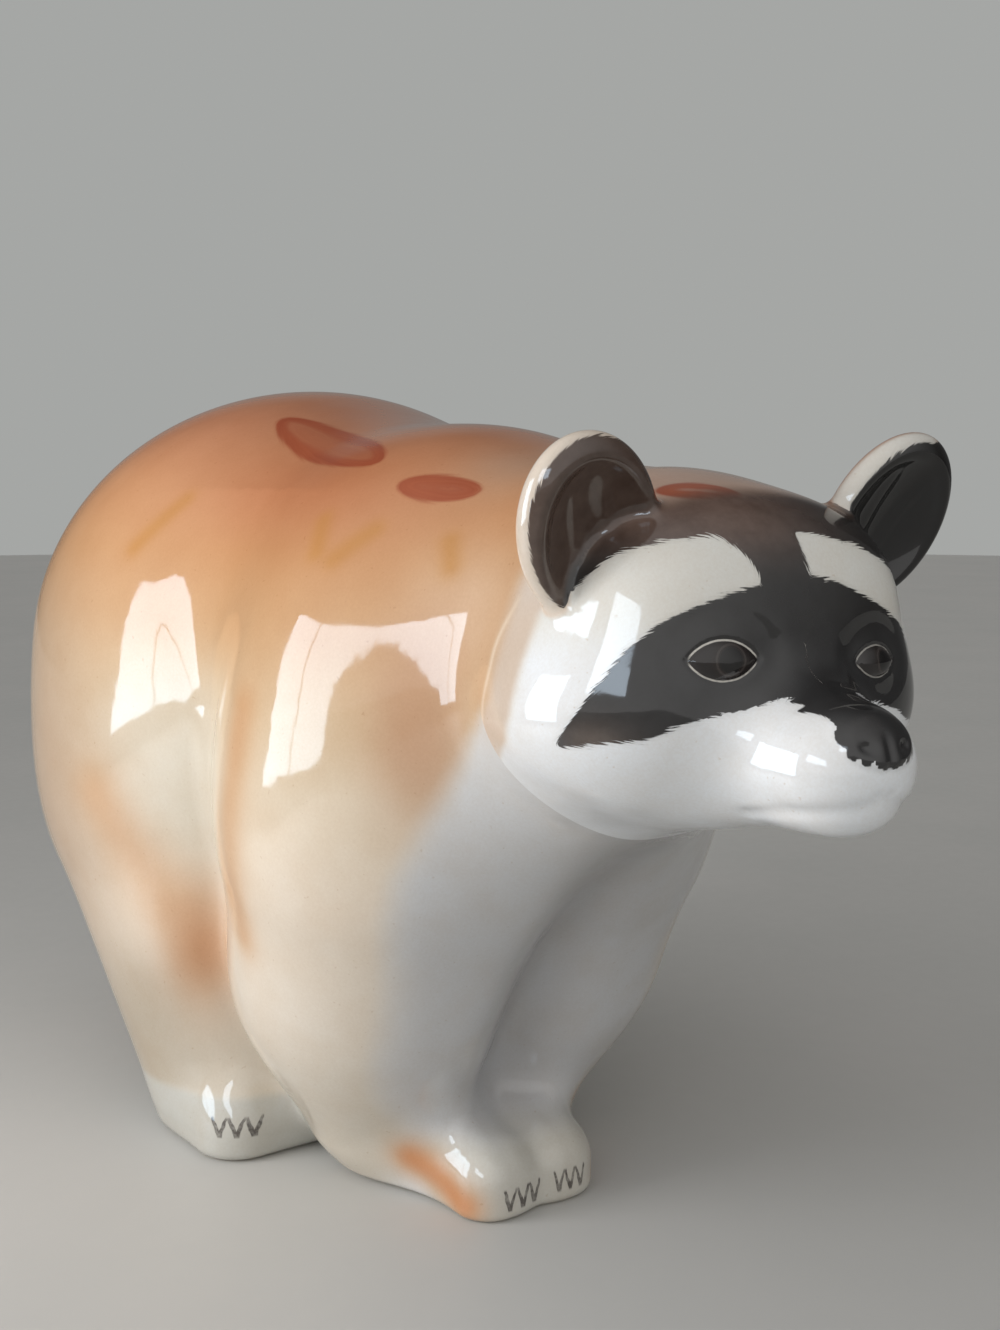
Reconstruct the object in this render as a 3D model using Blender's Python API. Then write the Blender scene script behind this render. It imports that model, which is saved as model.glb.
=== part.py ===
"""Glazed porcelain raccoon figurine, standing on four short legs.

Frame: metres, +Z up, the animal looks along -Y and its right side faces -X.
The origin is on the table, under the middle of the bounding box.
Every casting is cut out of one smooth body shape, so that neighbouring
castings share their seam and leave an even gap for the slip that joins them.
"""
import math

import bmesh
import bpy
import numpy as np

# ---------------------------------------------------------------- dimensions (metres)
SLIP_GAP = 0.0003            # gap at every seam
BODY_WALL = 0.0030           # wall of the hollow body
HEAD_WALL = 0.0026           # wall of the hollow head
VENT_RADIUS = 0.0018         # firing vent in the belly
VENT_Y = 0.0145
LEG_SEAM_HEIGHT = 0.024      # the legs are stuck on below this height
BODY_FLOOR = 0.003           # solid floor of the body above the leg seam
LEG_SPLIT_FOOT_Y = 0.0093    # the plane between front and hind legs meets the table here
LEG_SPLIT_TILT = 14.5        # degrees it leans back from there

RUMP_CENTRE = (0.0, 0.034, 0.060)
RUMP_RADII = (0.038, 0.041, 0.036)
SHOULDER_CENTRE = (0.0, -0.006, 0.057)
SHOULDER_RADII = (0.031, 0.0255, 0.0315)
THIGH_TOP, THIGH_TOP_RADIUS = (0.0135, 0.035, 0.042), 0.0238
HOCK, HOCK_RADIUS = (0.0156, 0.0263, 0.012), 0.0148
FORELEG_TOP, FORELEG_TOP_RADIUS = (0.0123, -0.005, 0.042), 0.0182
ELBOW, ELBOW_RADIUS = (0.0108, -0.0006, 0.027), 0.0162
WRIST, WRIST_RADIUS = (0.0076, 0.0019, 0.0105), 0.0120
CHEST_VALLEY = 0.0032         # softens the valley between the two forelegs
NECK_REAR, NECK_REAR_RADIUS = (0.0, -0.012, 0.0615), 0.0255
NECK_FRONT, NECK_FRONT_RADIUS = (0.0, -0.038, 0.067), 0.0182

FORE_PAW_CENTRE, FORE_PAW_HALF, FORE_PAW_ROUND = (0.0045, -0.0086, 0.0024), (0.0050, 0.0118, 0.0060), 0.0046
FORE_PAWS_SHIFT = 0.0006     # both fore paws stand this far to the right
PAW_CLEFT = 0.0019           # softens the cleft between the two fore paws
SWELL_CENTRE, SWELL_HEIGHT, SWELL_SPREAD = (0.0299, 0.0185, 0.0285), 0.0018, 0.0075
GROOVE_DEPTH, GROOVE_WIDTH, GROOVE_FROM, GROOVE_TO = 0.0026, 0.0046, 0.005, 0.054
HIND_PAW_CENTRE, HIND_PAW_HALF, HIND_PAW_ROUND = (0.0176, 0.0206, 0.0028), (0.0102, 0.0106, 0.0066), 0.0062

HEAD_CENTRE = (-0.0005, -0.047, 0.068)
HEAD_TURN, HEAD_TILT = -6.0, 1.0        # degrees about the vertical and the fore-aft axis
SKULL_RADII, SKULL_FULLNESS = (0.0185, 0.0130, 0.0152), 2.6
CHEEK_CENTRE, CHEEK_RADII = (0.0088, 0.0018, -0.0052), (0.0130, 0.0130, 0.0090)
MUZZLE_ROOT, MUZZLE_ROOT_RADIUS = (0.0, -0.006, -0.0077), 0.0078
MUZZLE_TIP, MUZZLE_TIP_RADIUS = (0.0, -0.0184, -0.00835), 0.0059
MUZZLE_BREADTH = 1.14        # the muzzle is this much broader than it is deep
CHIN_CENTRE, CHIN_RADII, CHIN_TILT = (0.0, -0.0142, -0.0111), (0.0058, 0.0086, 0.0032), 6.0
NECK_SEAM_POINT, NECK_SEAM_TILT = (0.0, -0.0365, 0.067), 12.5

RIGHT_EAR_CENTRE = (-0.0166, -0.0034, 0.0114)
LEFT_EAR_CENTRE = (0.0176, -0.0036, 0.0124)
EAR_RADII = (0.0069, 0.0033, 0.0092)
EAR_CUP_RADII = (0.0063, 0.0040, 0.0089)
EAR_CUP_SHIFT = (0.00035, -0.0036, -0.0009)   # towards the crown, forwards, down
EAR_NOD, EAR_SPLAY = 18.0, 22.0              # degrees

TAIL_POINTS = ((0.0, 0.071, 0.057), (0.0005, 0.0715, 0.043), (0.003, 0.0635, 0.028), (0.008, 0.0535, 0.0155))
TAIL_THICKNESS = (0.0050, 0.0074, 0.0076, 0.0046)

MM = 0.001


def mm(values):
    return np.array(values, dtype=float) / MM


# ---------------------------------------------------------------- solid shapes as fields, in mm
def smin(a, b, k):
    h = np.clip(0.5 + 0.5 * (b - a) / k, 0.0, 1.0)
    return b * (1 - h) + a * h - k * h * (1 - h)


def smax(a, b, k):
    return -smin(-a, -b, k)


def turn(axis, degrees):
    a = math.radians(degrees)
    c, s = math.cos(a), math.sin(a)
    if axis == "x":
        return np.array([[1, 0, 0], [0, c, -s], [0, s, c]])
    if axis == "y":
        return np.array([[c, 0, s], [0, 1, 0], [-s, 0, c]])
    return np.array([[c, -s, 0], [s, c, 0], [0, 0, 1]])


def ellipsoid(p, centre, radii, axes=None):
    q = p - centre
    if axes is not None:
        q = q @ axes
    k0 = np.sqrt(((q / radii) ** 2).sum(-1)) + 1e-9
    k1 = np.sqrt(((q / (radii * radii)) ** 2).sum(-1)) + 1e-9
    return k0 * (k0 - 1.0) / k1


def squarish(p, radii, n):
    """An ellipsoid at the origin with fuller shoulders, for a power n above 2."""
    q = np.abs(p) + 1e-6
    k = ((q / radii) ** n).sum(-1) ** (1.0 / n)
    g = k[..., None] ** (1 - n) * q ** (n - 1) / radii ** n
    return (k - 1.0) / np.sqrt((g * g).sum(-1))


def round_cone(p, a, b, ra, rb):
    """Sphere ra at a and sphere rb at b, joined by their tangent cone."""
    ba = b - a
    l2 = float(ba @ ba)
    rr = ra - rb
    a2 = l2 - rr * rr
    pa = p - a
    y = pa @ ba
    z = y - l2
    w = pa * l2 - ba * y[..., None]
    x2 = (w * w).sum(-1)
    y2, z2 = y * y * l2, z * z * l2
    k = np.sign(rr) * rr * rr * x2
    side = (np.sqrt(x2 * a2 / l2) + y * rr) / l2 - ra
    end_b = np.sqrt(x2 + z2) / l2 - rb
    end_a = np.sqrt(x2 + y2) / l2 - ra
    return np.where(np.sign(z) * a2 * z2 > k, end_b, np.where(np.sign(y) * a2 * y2 < k, end_a, side))


def block(p, centre, half, r):
    q = np.abs(p - centre) - (half - r)
    out = np.maximum(q, 0)
    return np.sqrt((out * out).sum(-1)) + np.minimum(q.max(-1), 0) - r


def mirrored(p):
    m = p.copy()
    m[..., 0] = np.abs(p[..., 0])
    return m


HEAD_AXES = turn("z", HEAD_TURN) @ turn("y", HEAD_TILT)


def in_head(p):
    return (p - mm(HEAD_CENTRE)) @ HEAD_AXES


def ease(a, b, x):
    """0 at a, 1 at b, smooth between; a may be above b."""
    t = np.clip((x - a) / (b - a), 0.0, 1.0)
    return t * t * (3 - 2 * t)


def chest_groove(p):
    """The groove that runs down the chest between the forelegs."""
    low, high = GROOVE_FROM / MM, GROOVE_TO / MM
    across = np.exp(-(p[..., 0] * MM / GROOVE_WIDTH) ** 2)
    reach = ease(high, high - 22, p[..., 2]) * ease(low, low + 8, p[..., 2]) * ease(-4, -12, p[..., 1])
    return GROOVE_DEPTH / MM * across * reach


def trunk(p):
    m = mirrored(p)
    rear = ellipsoid(m, mm(RUMP_CENTRE), mm(RUMP_RADII))
    rear = smin(rear, round_cone(m, mm(THIGH_TOP), mm(HOCK), THIGH_TOP_RADIUS / MM, HOCK_RADIUS / MM), 10)
    front = ellipsoid(m, mm(SHOULDER_CENTRE), mm(SHOULDER_RADII))
    near = m.copy()
    near[..., 0] = np.sqrt(m[..., 0] ** 2 + (CHEST_VALLEY / MM) ** 2)
    leg = round_cone(near, mm(FORELEG_TOP), mm(ELBOW), FORELEG_TOP_RADIUS / MM, ELBOW_RADIUS / MM)
    leg = smin(leg, round_cone(near, mm(ELBOW), mm(WRIST), ELBOW_RADIUS / MM, WRIST_RADIUS / MM), 7)
    front = smin(front, leg, 10)
    # the flank blends smoothly near the back and is creased lower down
    k = 3.5 + 14.5 * np.clip((p[..., 2] - 58.0) / 25.0, 0, 1)
    d = smin(rear, front, k)
    neck = round_cone(m, mm(NECK_REAR), mm(NECK_FRONT), NECK_REAR_RADIUS / MM, NECK_FRONT_RADIUS / MM)
    d = smin(d, neck, 9)
    d = d + chest_groove(p)
    paw = p + mm((FORE_PAWS_SHIFT, 0.0, 0.0))
    paw[..., 0] = np.sqrt(paw[..., 0] ** 2 + (PAW_CLEFT / MM) ** 2)
    d = smin(d, block(paw, mm(FORE_PAW_CENTRE), mm(FORE_PAW_HALF), FORE_PAW_ROUND / MM), 8)
    # the thigh swells a little above the knee
    d = d - SWELL_HEIGHT / MM * np.exp(-((m - mm(SWELL_CENTRE)) ** 2).sum(-1) / (SWELL_SPREAD / MM) ** 2)
    return smin(d, block(m, mm(HIND_PAW_CENTRE), mm(HIND_PAW_HALF), HIND_PAW_ROUND / MM), 4.5)


def skull(p):
    q = in_head(p)
    m = mirrored(q)
    d = squarish(m, mm(SKULL_RADII), SKULL_FULLNESS)
    d = smin(d, ellipsoid(m, mm(CHEEK_CENTRE), mm(CHEEK_RADII)), 5)
    narrowed = m / np.array((MUZZLE_BREADTH, 1.0, 1.0))
    muzzle = round_cone(narrowed, mm(MUZZLE_ROOT), mm(MUZZLE_TIP), MUZZLE_ROOT_RADIUS / MM, MUZZLE_TIP_RADIUS / MM)
    d = smin(d, muzzle, 4)
    chin = ellipsoid(q, mm(CHIN_CENTRE), mm(CHIN_RADII), turn("x", CHIN_TILT))
    return smin(d, chin, 0.9)


def figure(p):
    """Trunk, legs, paws and head as one solid; the soles are cut flat later."""
    return smin(trunk(p), skull(p), 5)


def ear(p, side):
    centre = RIGHT_EAR_CENTRE if side < 0 else LEFT_EAR_CENTRE
    q = (in_head(p) - mm(centre)) @ (turn("x", EAR_NOD) @ turn("y", side * EAR_SPLAY))
    shell = ellipsoid(q, np.zeros(3), mm(EAR_RADII))
    shift = mm(EAR_CUP_SHIFT) * np.array([-side, 1, 1])
    cup = ellipsoid(q, shift, mm(EAR_CUP_RADII))
    return smax(shell, -cup, 0.9)


def tail(p):
    d = None
    for i in range(len(TAIL_POINTS) - 1):
        s = round_cone(p, mm(TAIL_POINTS[i]), mm(TAIL_POINTS[i + 1]), TAIL_THICKNESS[i] / MM, TAIL_THICKNESS[i + 1] / MM)
        d = s if d is None else np.minimum(d, s)
    return d


# ---------------------------------------------------------------- seams
GAP = SLIP_GAP / MM
SEAM_Z = LEG_SEAM_HEIGHT / MM
SPLIT = np.array([0.0, LEG_SPLIT_FOOT_Y / MM, 0.0])
SPARE = 5.0      # fields run on this far past a seam, and the seam is cut afterwards


def neck_normal():
    a = math.radians(NECK_SEAM_TILT)
    return np.array([0.0, -math.cos(a), math.sin(a)])


def neck_side(p):
    """Positive on the head's side of the neck seam."""
    return (p - mm(NECK_SEAM_POINT)) @ neck_normal()


def split_normal():
    a = math.radians(LEG_SPLIT_TILT)
    return np.array([0.0, math.cos(a), -math.sin(a)])


def vent(p):
    """The firing vent, a plain bore up through the belly into the cavity."""
    r = np.sqrt(p[..., 0] ** 2 + (p[..., 1] - VENT_Y / MM) ** 2) - VENT_RADIUS / MM
    return np.maximum(np.maximum(r, p[..., 2] - SEAM_Z - 9.0), SEAM_Z - 9.0 - p[..., 2])


def body_solid(p):
    return np.maximum(np.maximum(figure(p), SEAM_Z - SPARE - p[..., 2]), neck_side(p) - SPARE)


def body_cavity(p):
    d = np.maximum(figure(p) + BODY_WALL / MM, SEAM_Z + BODY_FLOOR / MM - p[..., 2])
    return np.maximum(d, neck_side(p) - SPARE)


def head_solid(p):
    return np.maximum(figure(p), -SPARE - neck_side(p))


def head_cavity(p):
    return np.maximum(figure(p) + HEAD_WALL / MM, -SPARE - neck_side(p))


def leg(p, side, hind):
    y = ((p - SPLIT) @ split_normal()) * (1 if hind else -1)
    d = np.maximum(figure(p), p[..., 2] - SEAM_Z - SPARE)
    return np.maximum(np.maximum(d, -SPARE - side * p[..., 0]), -SPARE - y)


def seat(p):
    """The figure grown by the slip gap, to cut the undersides of ears and tail."""
    return figure(p) - GAP


# ---------------------------------------------------------------- from field to closed mesh
def sample(f, lo, hi, h):
    n = [int(math.ceil((hi[i] - lo[i]) / h)) + 1 for i in range(3)]
    ax = [lo[i] + h * np.arange(n[i]) for i in range(3)]
    v = np.empty(n)
    for i in range(n[0]):
        y, z = np.meshgrid(ax[1], ax[2], indexing="ij")
        p = np.stack([np.full_like(y, ax[0][i]), y, z], -1).reshape(-1, 3)
        v[i] = f(p).reshape(n[1], n[2])
    return v, ax


def net(v, ax):
    """One vertex in every cell that the surface crosses, one quad around every crossed edge."""
    inside = v < 0
    n = v.shape
    count = np.zeros([k - 1 for k in n], np.int8)
    for a in (slice(None, -1), slice(1, None)):
        for b in (slice(None, -1), slice(1, None)):
            for c in (slice(None, -1), slice(1, None)):
                count += inside[a, b, c]
    active = (count > 0) & (count < 8)
    cells = np.argwhere(active)
    ids = -np.ones(active.shape, np.int64)
    ids[active] = np.arange(len(cells))
    i, j, k = cells.T
    total = np.zeros((len(cells), 3))
    weight = np.zeros(len(cells))
    for a in [(x, y, z) for x in (0, 1) for y in (0, 1) for z in (0, 1)]:
        for d in range(3):
            if a[d]:
                continue
            b = list(a)
            b[d] = 1
            va = v[i + a[0], j + a[1], k + a[2]]
            vb = v[i + b[0], j + b[1], k + b[2]]
            crossed = (va < 0) != (vb < 0)
            t = np.where(crossed, va / np.where(crossed, va - vb, 1), 0)
            at = np.stack([a[m] + (t if m == d else 0 * t) for m in range(3)], -1)
            total += at * crossed[:, None]
            weight += crossed
    h = ax[0][1] - ax[0][0]
    points = np.array([ax[m][0] for m in range(3)]) + (cells + total / weight[:, None]) * h
    quads = []
    for d in range(3):
        u, w = [(1, 2), (2, 0), (0, 1)][d]
        s0, s1 = [slice(None)] * 3, [slice(None)] * 3
        s0[d], s1[d] = slice(None, -1), slice(1, None)
        first, second = inside[tuple(s0)], inside[tuple(s1)]
        e = np.argwhere(first != second)
        leaving = first[e[:, 0], e[:, 1], e[:, 2]]

        def cell(du, dw):
            c = e.copy()
            c[:, u] += du
            c[:, w] += dw
            return ids[c[:, 0], c[:, 1], c[:, 2]]

        q = np.stack([cell(-1, -1), cell(0, -1), cell(0, 0), cell(-1, 0)], -1)
        q[~leaving] = q[~leaving][:, ::-1]
        quads.append(q)
    return points, np.concatenate(quads)


def settle(f, points, reach):
    """Newton steps that lay the points on the surface, never further than reach."""
    start = points.copy()
    for _ in range(4):
        g = np.zeros(points.shape)
        for d in range(3):
            o = np.zeros(3)
            o[d] = 0.02
            g[:, d] = (f(points + o) - f(points - o)) / 0.04
        step = -(f(points) / np.maximum((g * g).sum(1), 0.05))[:, None] * g
        move = points + step - start
        length = np.linalg.norm(move, axis=1, keepdims=True)
        points = start + move * np.minimum(1, reach / np.maximum(length, 1e-9))
    return points


def triangles(points, quads):
    """Quads cut along their shorter diagonal."""
    a, b, c, d = quads.T
    ac = np.linalg.norm(points[a] - points[c], axis=1)
    bd = np.linalg.norm(points[b] - points[d], axis=1)
    s = (ac <= bd)[:, None]
    one = np.where(s, np.stack([a, b, c], -1), np.stack([a, b, d], -1))
    two = np.where(s, np.stack([a, c, d], -1), np.stack([b, c, d], -1))
    return np.concatenate([one, two])


def solid(name, f, lo, hi, step):
    """The field as a closed mesh; the grid is shifted until no two sheets share an edge."""
    mesh = bpy.data.meshes.new(name)
    middle, half = (np.array(lo) + hi) / 2, (np.array(hi) - lo) / 2 - 1.5 * step

    def closed(p):
        return np.maximum(f(p), (np.abs(p - middle) - half).max(-1))

    for attempt in range(20):
        shift = [attempt * k * step for k in (0.11, 0.07, 0.13)]
        v, ax = sample(closed, [lo[i] - shift[i] % step for i in range(3)], hi, step)
        points, quads = net(v, ax)
        points = settle(closed, points, 0.45 * step)
        tris = triangles(points, quads)
        mesh.clear_geometry()
        mesh.from_pydata((points * MM).tolist(), [], tris.tolist())
        mesh.validate()
        bm = bmesh.new()
        bm.from_mesh(mesh)
        bmesh.ops.remove_doubles(bm, verts=bm.verts, dist=2e-6)
        bmesh.ops.dissolve_degenerate(bm, dist=1e-6, edges=bm.edges)
        bmesh.ops.recalc_face_normals(bm, faces=bm.faces)
        clean = all(e.is_manifold for e in bm.edges) and all(p.is_manifold for p in bm.verts)
        bm.to_mesh(mesh)
        bm.free()
        if clean:
            break
    ob = bpy.data.objects.new(name, mesh)
    bpy.context.scene.collection.objects.link(ob)
    return ob


def slab(point, normal):
    """A large block that fills the side of a plane its normal points to."""
    size = 260.0
    n = np.array(normal, dtype=float)
    n /= np.linalg.norm(n)
    u = np.cross(n, (1.0, 0.0, 0.0) if abs(n[0]) < 0.9 else (0.0, 1.0, 0.0))
    u /= np.linalg.norm(u)
    w = np.cross(n, u)
    centre = np.array(point, dtype=float)
    corners = [(centre + u * a * size + w * b * size + n * c * size) * MM for c in (0, 1) for a, b in ((-1, -1), (1, -1), (1, 1), (-1, 1))]
    faces = [(3, 2, 1, 0), (4, 5, 6, 7), (0, 1, 5, 4), (1, 2, 6, 5), (2, 3, 7, 6), (3, 0, 4, 7)]
    mesh = bpy.data.meshes.new("slab")
    mesh.from_pydata([tuple(c) for c in corners], [], faces)
    ob = bpy.data.objects.new("slab", mesh)
    bpy.context.scene.collection.objects.link(ob)
    return ob


def cut(ob, cutter):
    """Takes the cutter's volume out of the object for good."""
    mod = ob.modifiers.new("cut", "BOOLEAN")
    mod.operation = "DIFFERENCE"
    mod.solver = "EXACT"
    mod.object = cutter
    bpy.context.view_layer.update()
    done = bpy.data.meshes.new_from_object(ob.evaluated_get(bpy.context.evaluated_depsgraph_get()))
    ob.modifiers.clear()
    ob.data = done
    bpy.data.objects.remove(cutter, do_unlink=True)


def glaze(ob, colour, roughness):
    for polygon in ob.data.polygons:
        polygon.use_smooth = True
    material = bpy.data.materials.new(ob.name + "_glaze")
    material.use_nodes = True
    shader = material.node_tree.nodes["Principled BSDF"]
    shader.inputs["Base Color"].default_value = (*colour, 1.0)
    shader.inputs["Roughness"].default_value = roughness
    ob.data.materials.clear()
    ob.data.materials.append(material)


for ob in list(bpy.data.objects):
    bpy.data.objects.remove(ob, do_unlink=True)

RUST = (0.62, 0.30, 0.13)
CREAM = (0.80, 0.70, 0.58)
WHITE = (0.86, 0.86, 0.84)
DARK = (0.06, 0.045, 0.04)

NECK = mm(NECK_SEAM_POINT)

body = solid("body_shell", body_solid, (-48.0, -52.0, 10.0), (50.0, 86.0, 106.0), 4.3)
cut(body, slab((0, 0, SEAM_Z + GAP / 2), (0, 0, -1)))
cut(body, slab(NECK - neck_normal() * GAP / 2, neck_normal()))
cut(body, solid("body_cavity", body_cavity, (-46.0, -56.0, 16.0), (48.0, 84.0, 104.0), 4.9))
cut(body, solid("vent_bore", vent, (-3.0, 11.5, 12.0), (3.0, 17.5, 36.0), 0.7))
glaze(body, RUST, 0.12)

head = solid("head_shell", head_solid, (-30.0, -78.0, 38.0), (30.0, -20.0, 96.0), 2.1)
cut(head, slab(NECK + neck_normal() * GAP / 2, -neck_normal()))
cut(head, solid("head_cavity", head_cavity, (-30.0, -78.0, 38.0), (30.0, -20.0, 96.0), 2.7))
glaze(head, WHITE, 0.10)

for name, side in (("right_ear", -1), ("left_ear", 1)):
    x = sorted((side * 4.0, side * 31.0))
    lo, hi = (x[0], -65.0, 65.0), (x[1], -37.0, 96.0)
    ob = solid(name, lambda p: np.maximum(ear(p, side), -2.0 - figure(p)), lo, hi, 1.15)
    cut(ob, solid("seat", seat, (lo[0] - 2, lo[1] - 2, lo[2] - 2), (hi[0] + 2, hi[1] + 2, hi[2] + 2), 1.5))
    glaze(ob, DARK, 0.10)

ob = solid("tail", tail, (-13.0, 40.0, 4.0), (20.0, 88.0, 70.0), 2.0)
cut(ob, solid("seat", seat, (-26.0, 26.0, -4.0), (32.0, 88.0, 80.0), 2.4))
glaze(ob, RUST, 0.12)

for name, side in (("right", -1), ("left", 1)):
    for end, hind, step in (("front", False, 2.6), ("hind", True, 2.9)):
        x = sorted((-side * 10.0, side * (42.0 if hind else 34.0)))
        lo = (x[0], 0.0 if hind else -30.0, -11.0)
        hi = (x[1], 66.0 if hind else 26.0, 36.0)
        ob = solid("%s_%s_leg" % (end, name), lambda p: leg(p, side, hind), lo, hi, step)
        away = split_normal() * (-1 if hind else 1)
        cut(ob, slab((side * GAP / 2, 0, 0), (-side, 0, 0)))
        cut(ob, slab(SPLIT - away * GAP / 2, away))
        cut(ob, slab((0, 0, SEAM_Z - GAP / 2), (0, 0, 1)))
        cut(ob, slab((0, 0, 0), (0, 0, -1)))
        glaze(ob, CREAM, 0.12)

# the frame's origin goes under the middle of the bounding box
corners = [v.co for ob in bpy.data.objects for v in ob.data.vertices]
middle_x = (min(c.x for c in corners) + max(c.x for c in corners)) / 2
middle_y = (min(c.y for c in corners) + max(c.y for c in corners)) / 2
bottom = min(c.z for c in corners)
for ob in bpy.data.objects:
    for v in ob.data.vertices:
        v.co.x -= middle_x
        v.co.y -= middle_y
        v.co.z -= bottom
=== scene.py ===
"""Looks of the glazed porcelain raccoon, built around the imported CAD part.

The figure is described once, in millimetres, as a smooth field that is negative inside the porcelain.
Each CAD casting gets a finely meshed piece cut from that field, so the pieces meet without a step.
The painting is stored on the pieces as smooth fields (distance to a painted edge, place along it, airbrushed colour),
and the materials turn those into brushed edges, speckle and glaze.
"""
import math

import bpy
import numpy as np
from mathutils import Matrix, Vector
from mathutils.geometry import tessellate_polygon


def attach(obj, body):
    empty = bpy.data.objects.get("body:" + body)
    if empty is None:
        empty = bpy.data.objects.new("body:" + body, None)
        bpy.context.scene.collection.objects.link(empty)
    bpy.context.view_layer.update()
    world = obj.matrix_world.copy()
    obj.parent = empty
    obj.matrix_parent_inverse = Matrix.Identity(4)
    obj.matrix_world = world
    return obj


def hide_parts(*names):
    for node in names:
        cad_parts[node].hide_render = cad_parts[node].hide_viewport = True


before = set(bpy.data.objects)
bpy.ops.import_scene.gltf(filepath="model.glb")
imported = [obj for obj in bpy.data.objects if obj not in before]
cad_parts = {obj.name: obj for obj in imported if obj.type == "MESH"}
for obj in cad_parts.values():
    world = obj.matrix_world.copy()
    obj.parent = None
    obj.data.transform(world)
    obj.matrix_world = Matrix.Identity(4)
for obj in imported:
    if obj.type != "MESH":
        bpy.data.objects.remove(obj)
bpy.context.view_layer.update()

MM = 0.001
RECENTRE = np.array((0.0, 3.8705840706825256, 0.0))     # the CAD part is centred on the table by this much, in mm


# ------------------------------------------------------------------ fields, in mm
def smin(a, b, k):
    h = np.clip(0.5 + 0.5 * (b - a) / k, 0.0, 1.0)
    return b * (1 - h) + a * h - k * h * (1 - h)


def smax(a, b, k):
    return -smin(-a, -b, k)


def step(a, b, x):
    """0 at a, 1 at b, smooth between; a may be above b."""
    t = np.clip((x - a) / (b - a), 0.0, 1.0)
    return t * t * (3 - 2 * t)


def turn(axis, degrees):
    a = math.radians(degrees)
    c, s = math.cos(a), math.sin(a)
    if axis == "x":
        return np.array([[1, 0, 0], [0, c, -s], [0, s, c]])
    if axis == "y":
        return np.array([[c, 0, s], [0, 1, 0], [-s, 0, c]])
    return np.array([[c, -s, 0], [s, c, 0], [0, 0, 1]])


def ellipsoid(p, centre, radii, axes=None):
    q = p - np.asarray(centre, float)
    if axes is not None:
        q = q @ axes
    radii = np.asarray(radii, float)
    k0 = np.sqrt(((q / radii) ** 2).sum(-1)) + 1e-9
    k1 = np.sqrt(((q / (radii * radii)) ** 2).sum(-1)) + 1e-9
    return k0 * (k0 - 1.0) / k1


def squarish(p, centre, radii, n):
    """An ellipsoid with a fuller shoulder, the power n above 2."""
    q = np.abs(p - np.asarray(centre, float)) + 1e-6
    r = np.asarray(radii, float)
    k = ((q / r) ** n).sum(-1) ** (1.0 / n)
    g = k[..., None] ** (1 - n) * q ** (n - 1) / r ** n
    return (k - 1.0) / np.sqrt((g * g).sum(-1))


def round_cone(p, a, b, ra, rb):
    a, b = np.asarray(a, float), np.asarray(b, float)
    ba = b - a
    l2 = float(ba @ ba)
    rr = ra - rb
    a2 = l2 - rr * rr
    pa = p - a
    y = pa @ ba
    z = y - l2
    w = pa * l2 - ba * y[..., None]
    x2 = (w * w).sum(-1)
    y2, z2 = y * y * l2, z * z * l2
    k = np.sign(rr) * rr * rr * x2
    side = (np.sqrt(x2 * a2 / l2) + y * rr) / l2 - ra
    end_b = np.sqrt(x2 + z2) / l2 - rb
    end_a = np.sqrt(x2 + y2) / l2 - ra
    return np.where(np.sign(z) * a2 * z2 > k, end_b, np.where(np.sign(y) * a2 * y2 < k, end_a, side))


def block(p, centre, half, r):
    q = np.abs(p - np.asarray(centre, float)) - (np.asarray(half, float) - r)
    out = np.maximum(q, 0)
    return np.sqrt((out * out).sum(-1)) + np.minimum(q.max(-1), 0) - r


def mirrored(p):
    m = p.copy()
    m[..., 0] = np.abs(p[..., 0])
    return m


HEAD_CENTRE = np.array((-0.5, -47.0, 68.0))
HEAD_AXES = turn("z", -6.0) @ turn("y", 1.0)
SKULL, SKULL_N = (18.5, 13.0, 15.2), 2.6
MUZZLE_ROOT, MUZZLE_ROOT_R = (0.0, -6.0, -7.7), 7.8
MUZZLE_TIP, MUZZLE_TIP_R = (0.0, -18.4, -8.35), 5.9
MUZZLE_BREADTH = 1.14


def in_head(p):
    return (p - HEAD_CENTRE) @ HEAD_AXES


def from_head(q):
    return np.asarray(q, float) @ HEAD_AXES.T + HEAD_CENTRE


def trunk(p):
    m = mirrored(p)
    rear = ellipsoid(m, (0, 34, 60), (38, 41, 36))
    rear = smin(rear, round_cone(m, (13.5, 35, 42), (15.6, 26.3, 12), 23.8, 14.8), 10)
    front = ellipsoid(m, (0, -6, 57), (31, 25.5, 31.5))
    near = m.copy()
    near[..., 0] = np.sqrt(m[..., 0] ** 2 + 3.2 ** 2)      # a soft valley between the two forelegs
    leg = round_cone(near, (12.3, -5, 42), (10.8, -0.6, 27), 18.2, 16.2)
    leg = smin(leg, round_cone(near, (10.8, -0.6, 27), (7.6, 1.9, 10.5), 16.2, 12.0), 7)
    front = smin(front, leg, 10)
    k = 3.5 + 14.5 * np.clip((p[..., 2] - 58.0) / 25.0, 0, 1)
    d = smin(rear, front, k)
    neck = round_cone(m, (0, -12, 61.5), (0, -38, 67), 25.5, 18.2)
    d = smin(d, neck, 9)
    # a groove runs down the chest between the forelegs
    d = d + 2.6 * np.exp(-(m[..., 0] / 4.6) ** 2) * step(54, 32, p[..., 2]) * step(5, 13, p[..., 2]) * step(-4, -12, p[..., 1])
    paw = p + np.array((0.6, 0.0, 0.0))
    paw[..., 0] = np.sqrt(paw[..., 0] ** 2 + 1.9 ** 2)
    d = smin(d, block(paw, (4.5, -8.6, 2.4), (5.0, 11.8, 6.0), 4.6), 8)
    # the thigh swells a little above the knee
    d = d - 1.8 * np.exp(-((m - np.array((29.9, 18.5, 28.5))) ** 2).sum(-1) / 7.5 ** 2)
    return smin(d, block(m, (17.6, 20.6, 2.8), (10.2, 10.6, 6.6), 6.2), 4.5)


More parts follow.
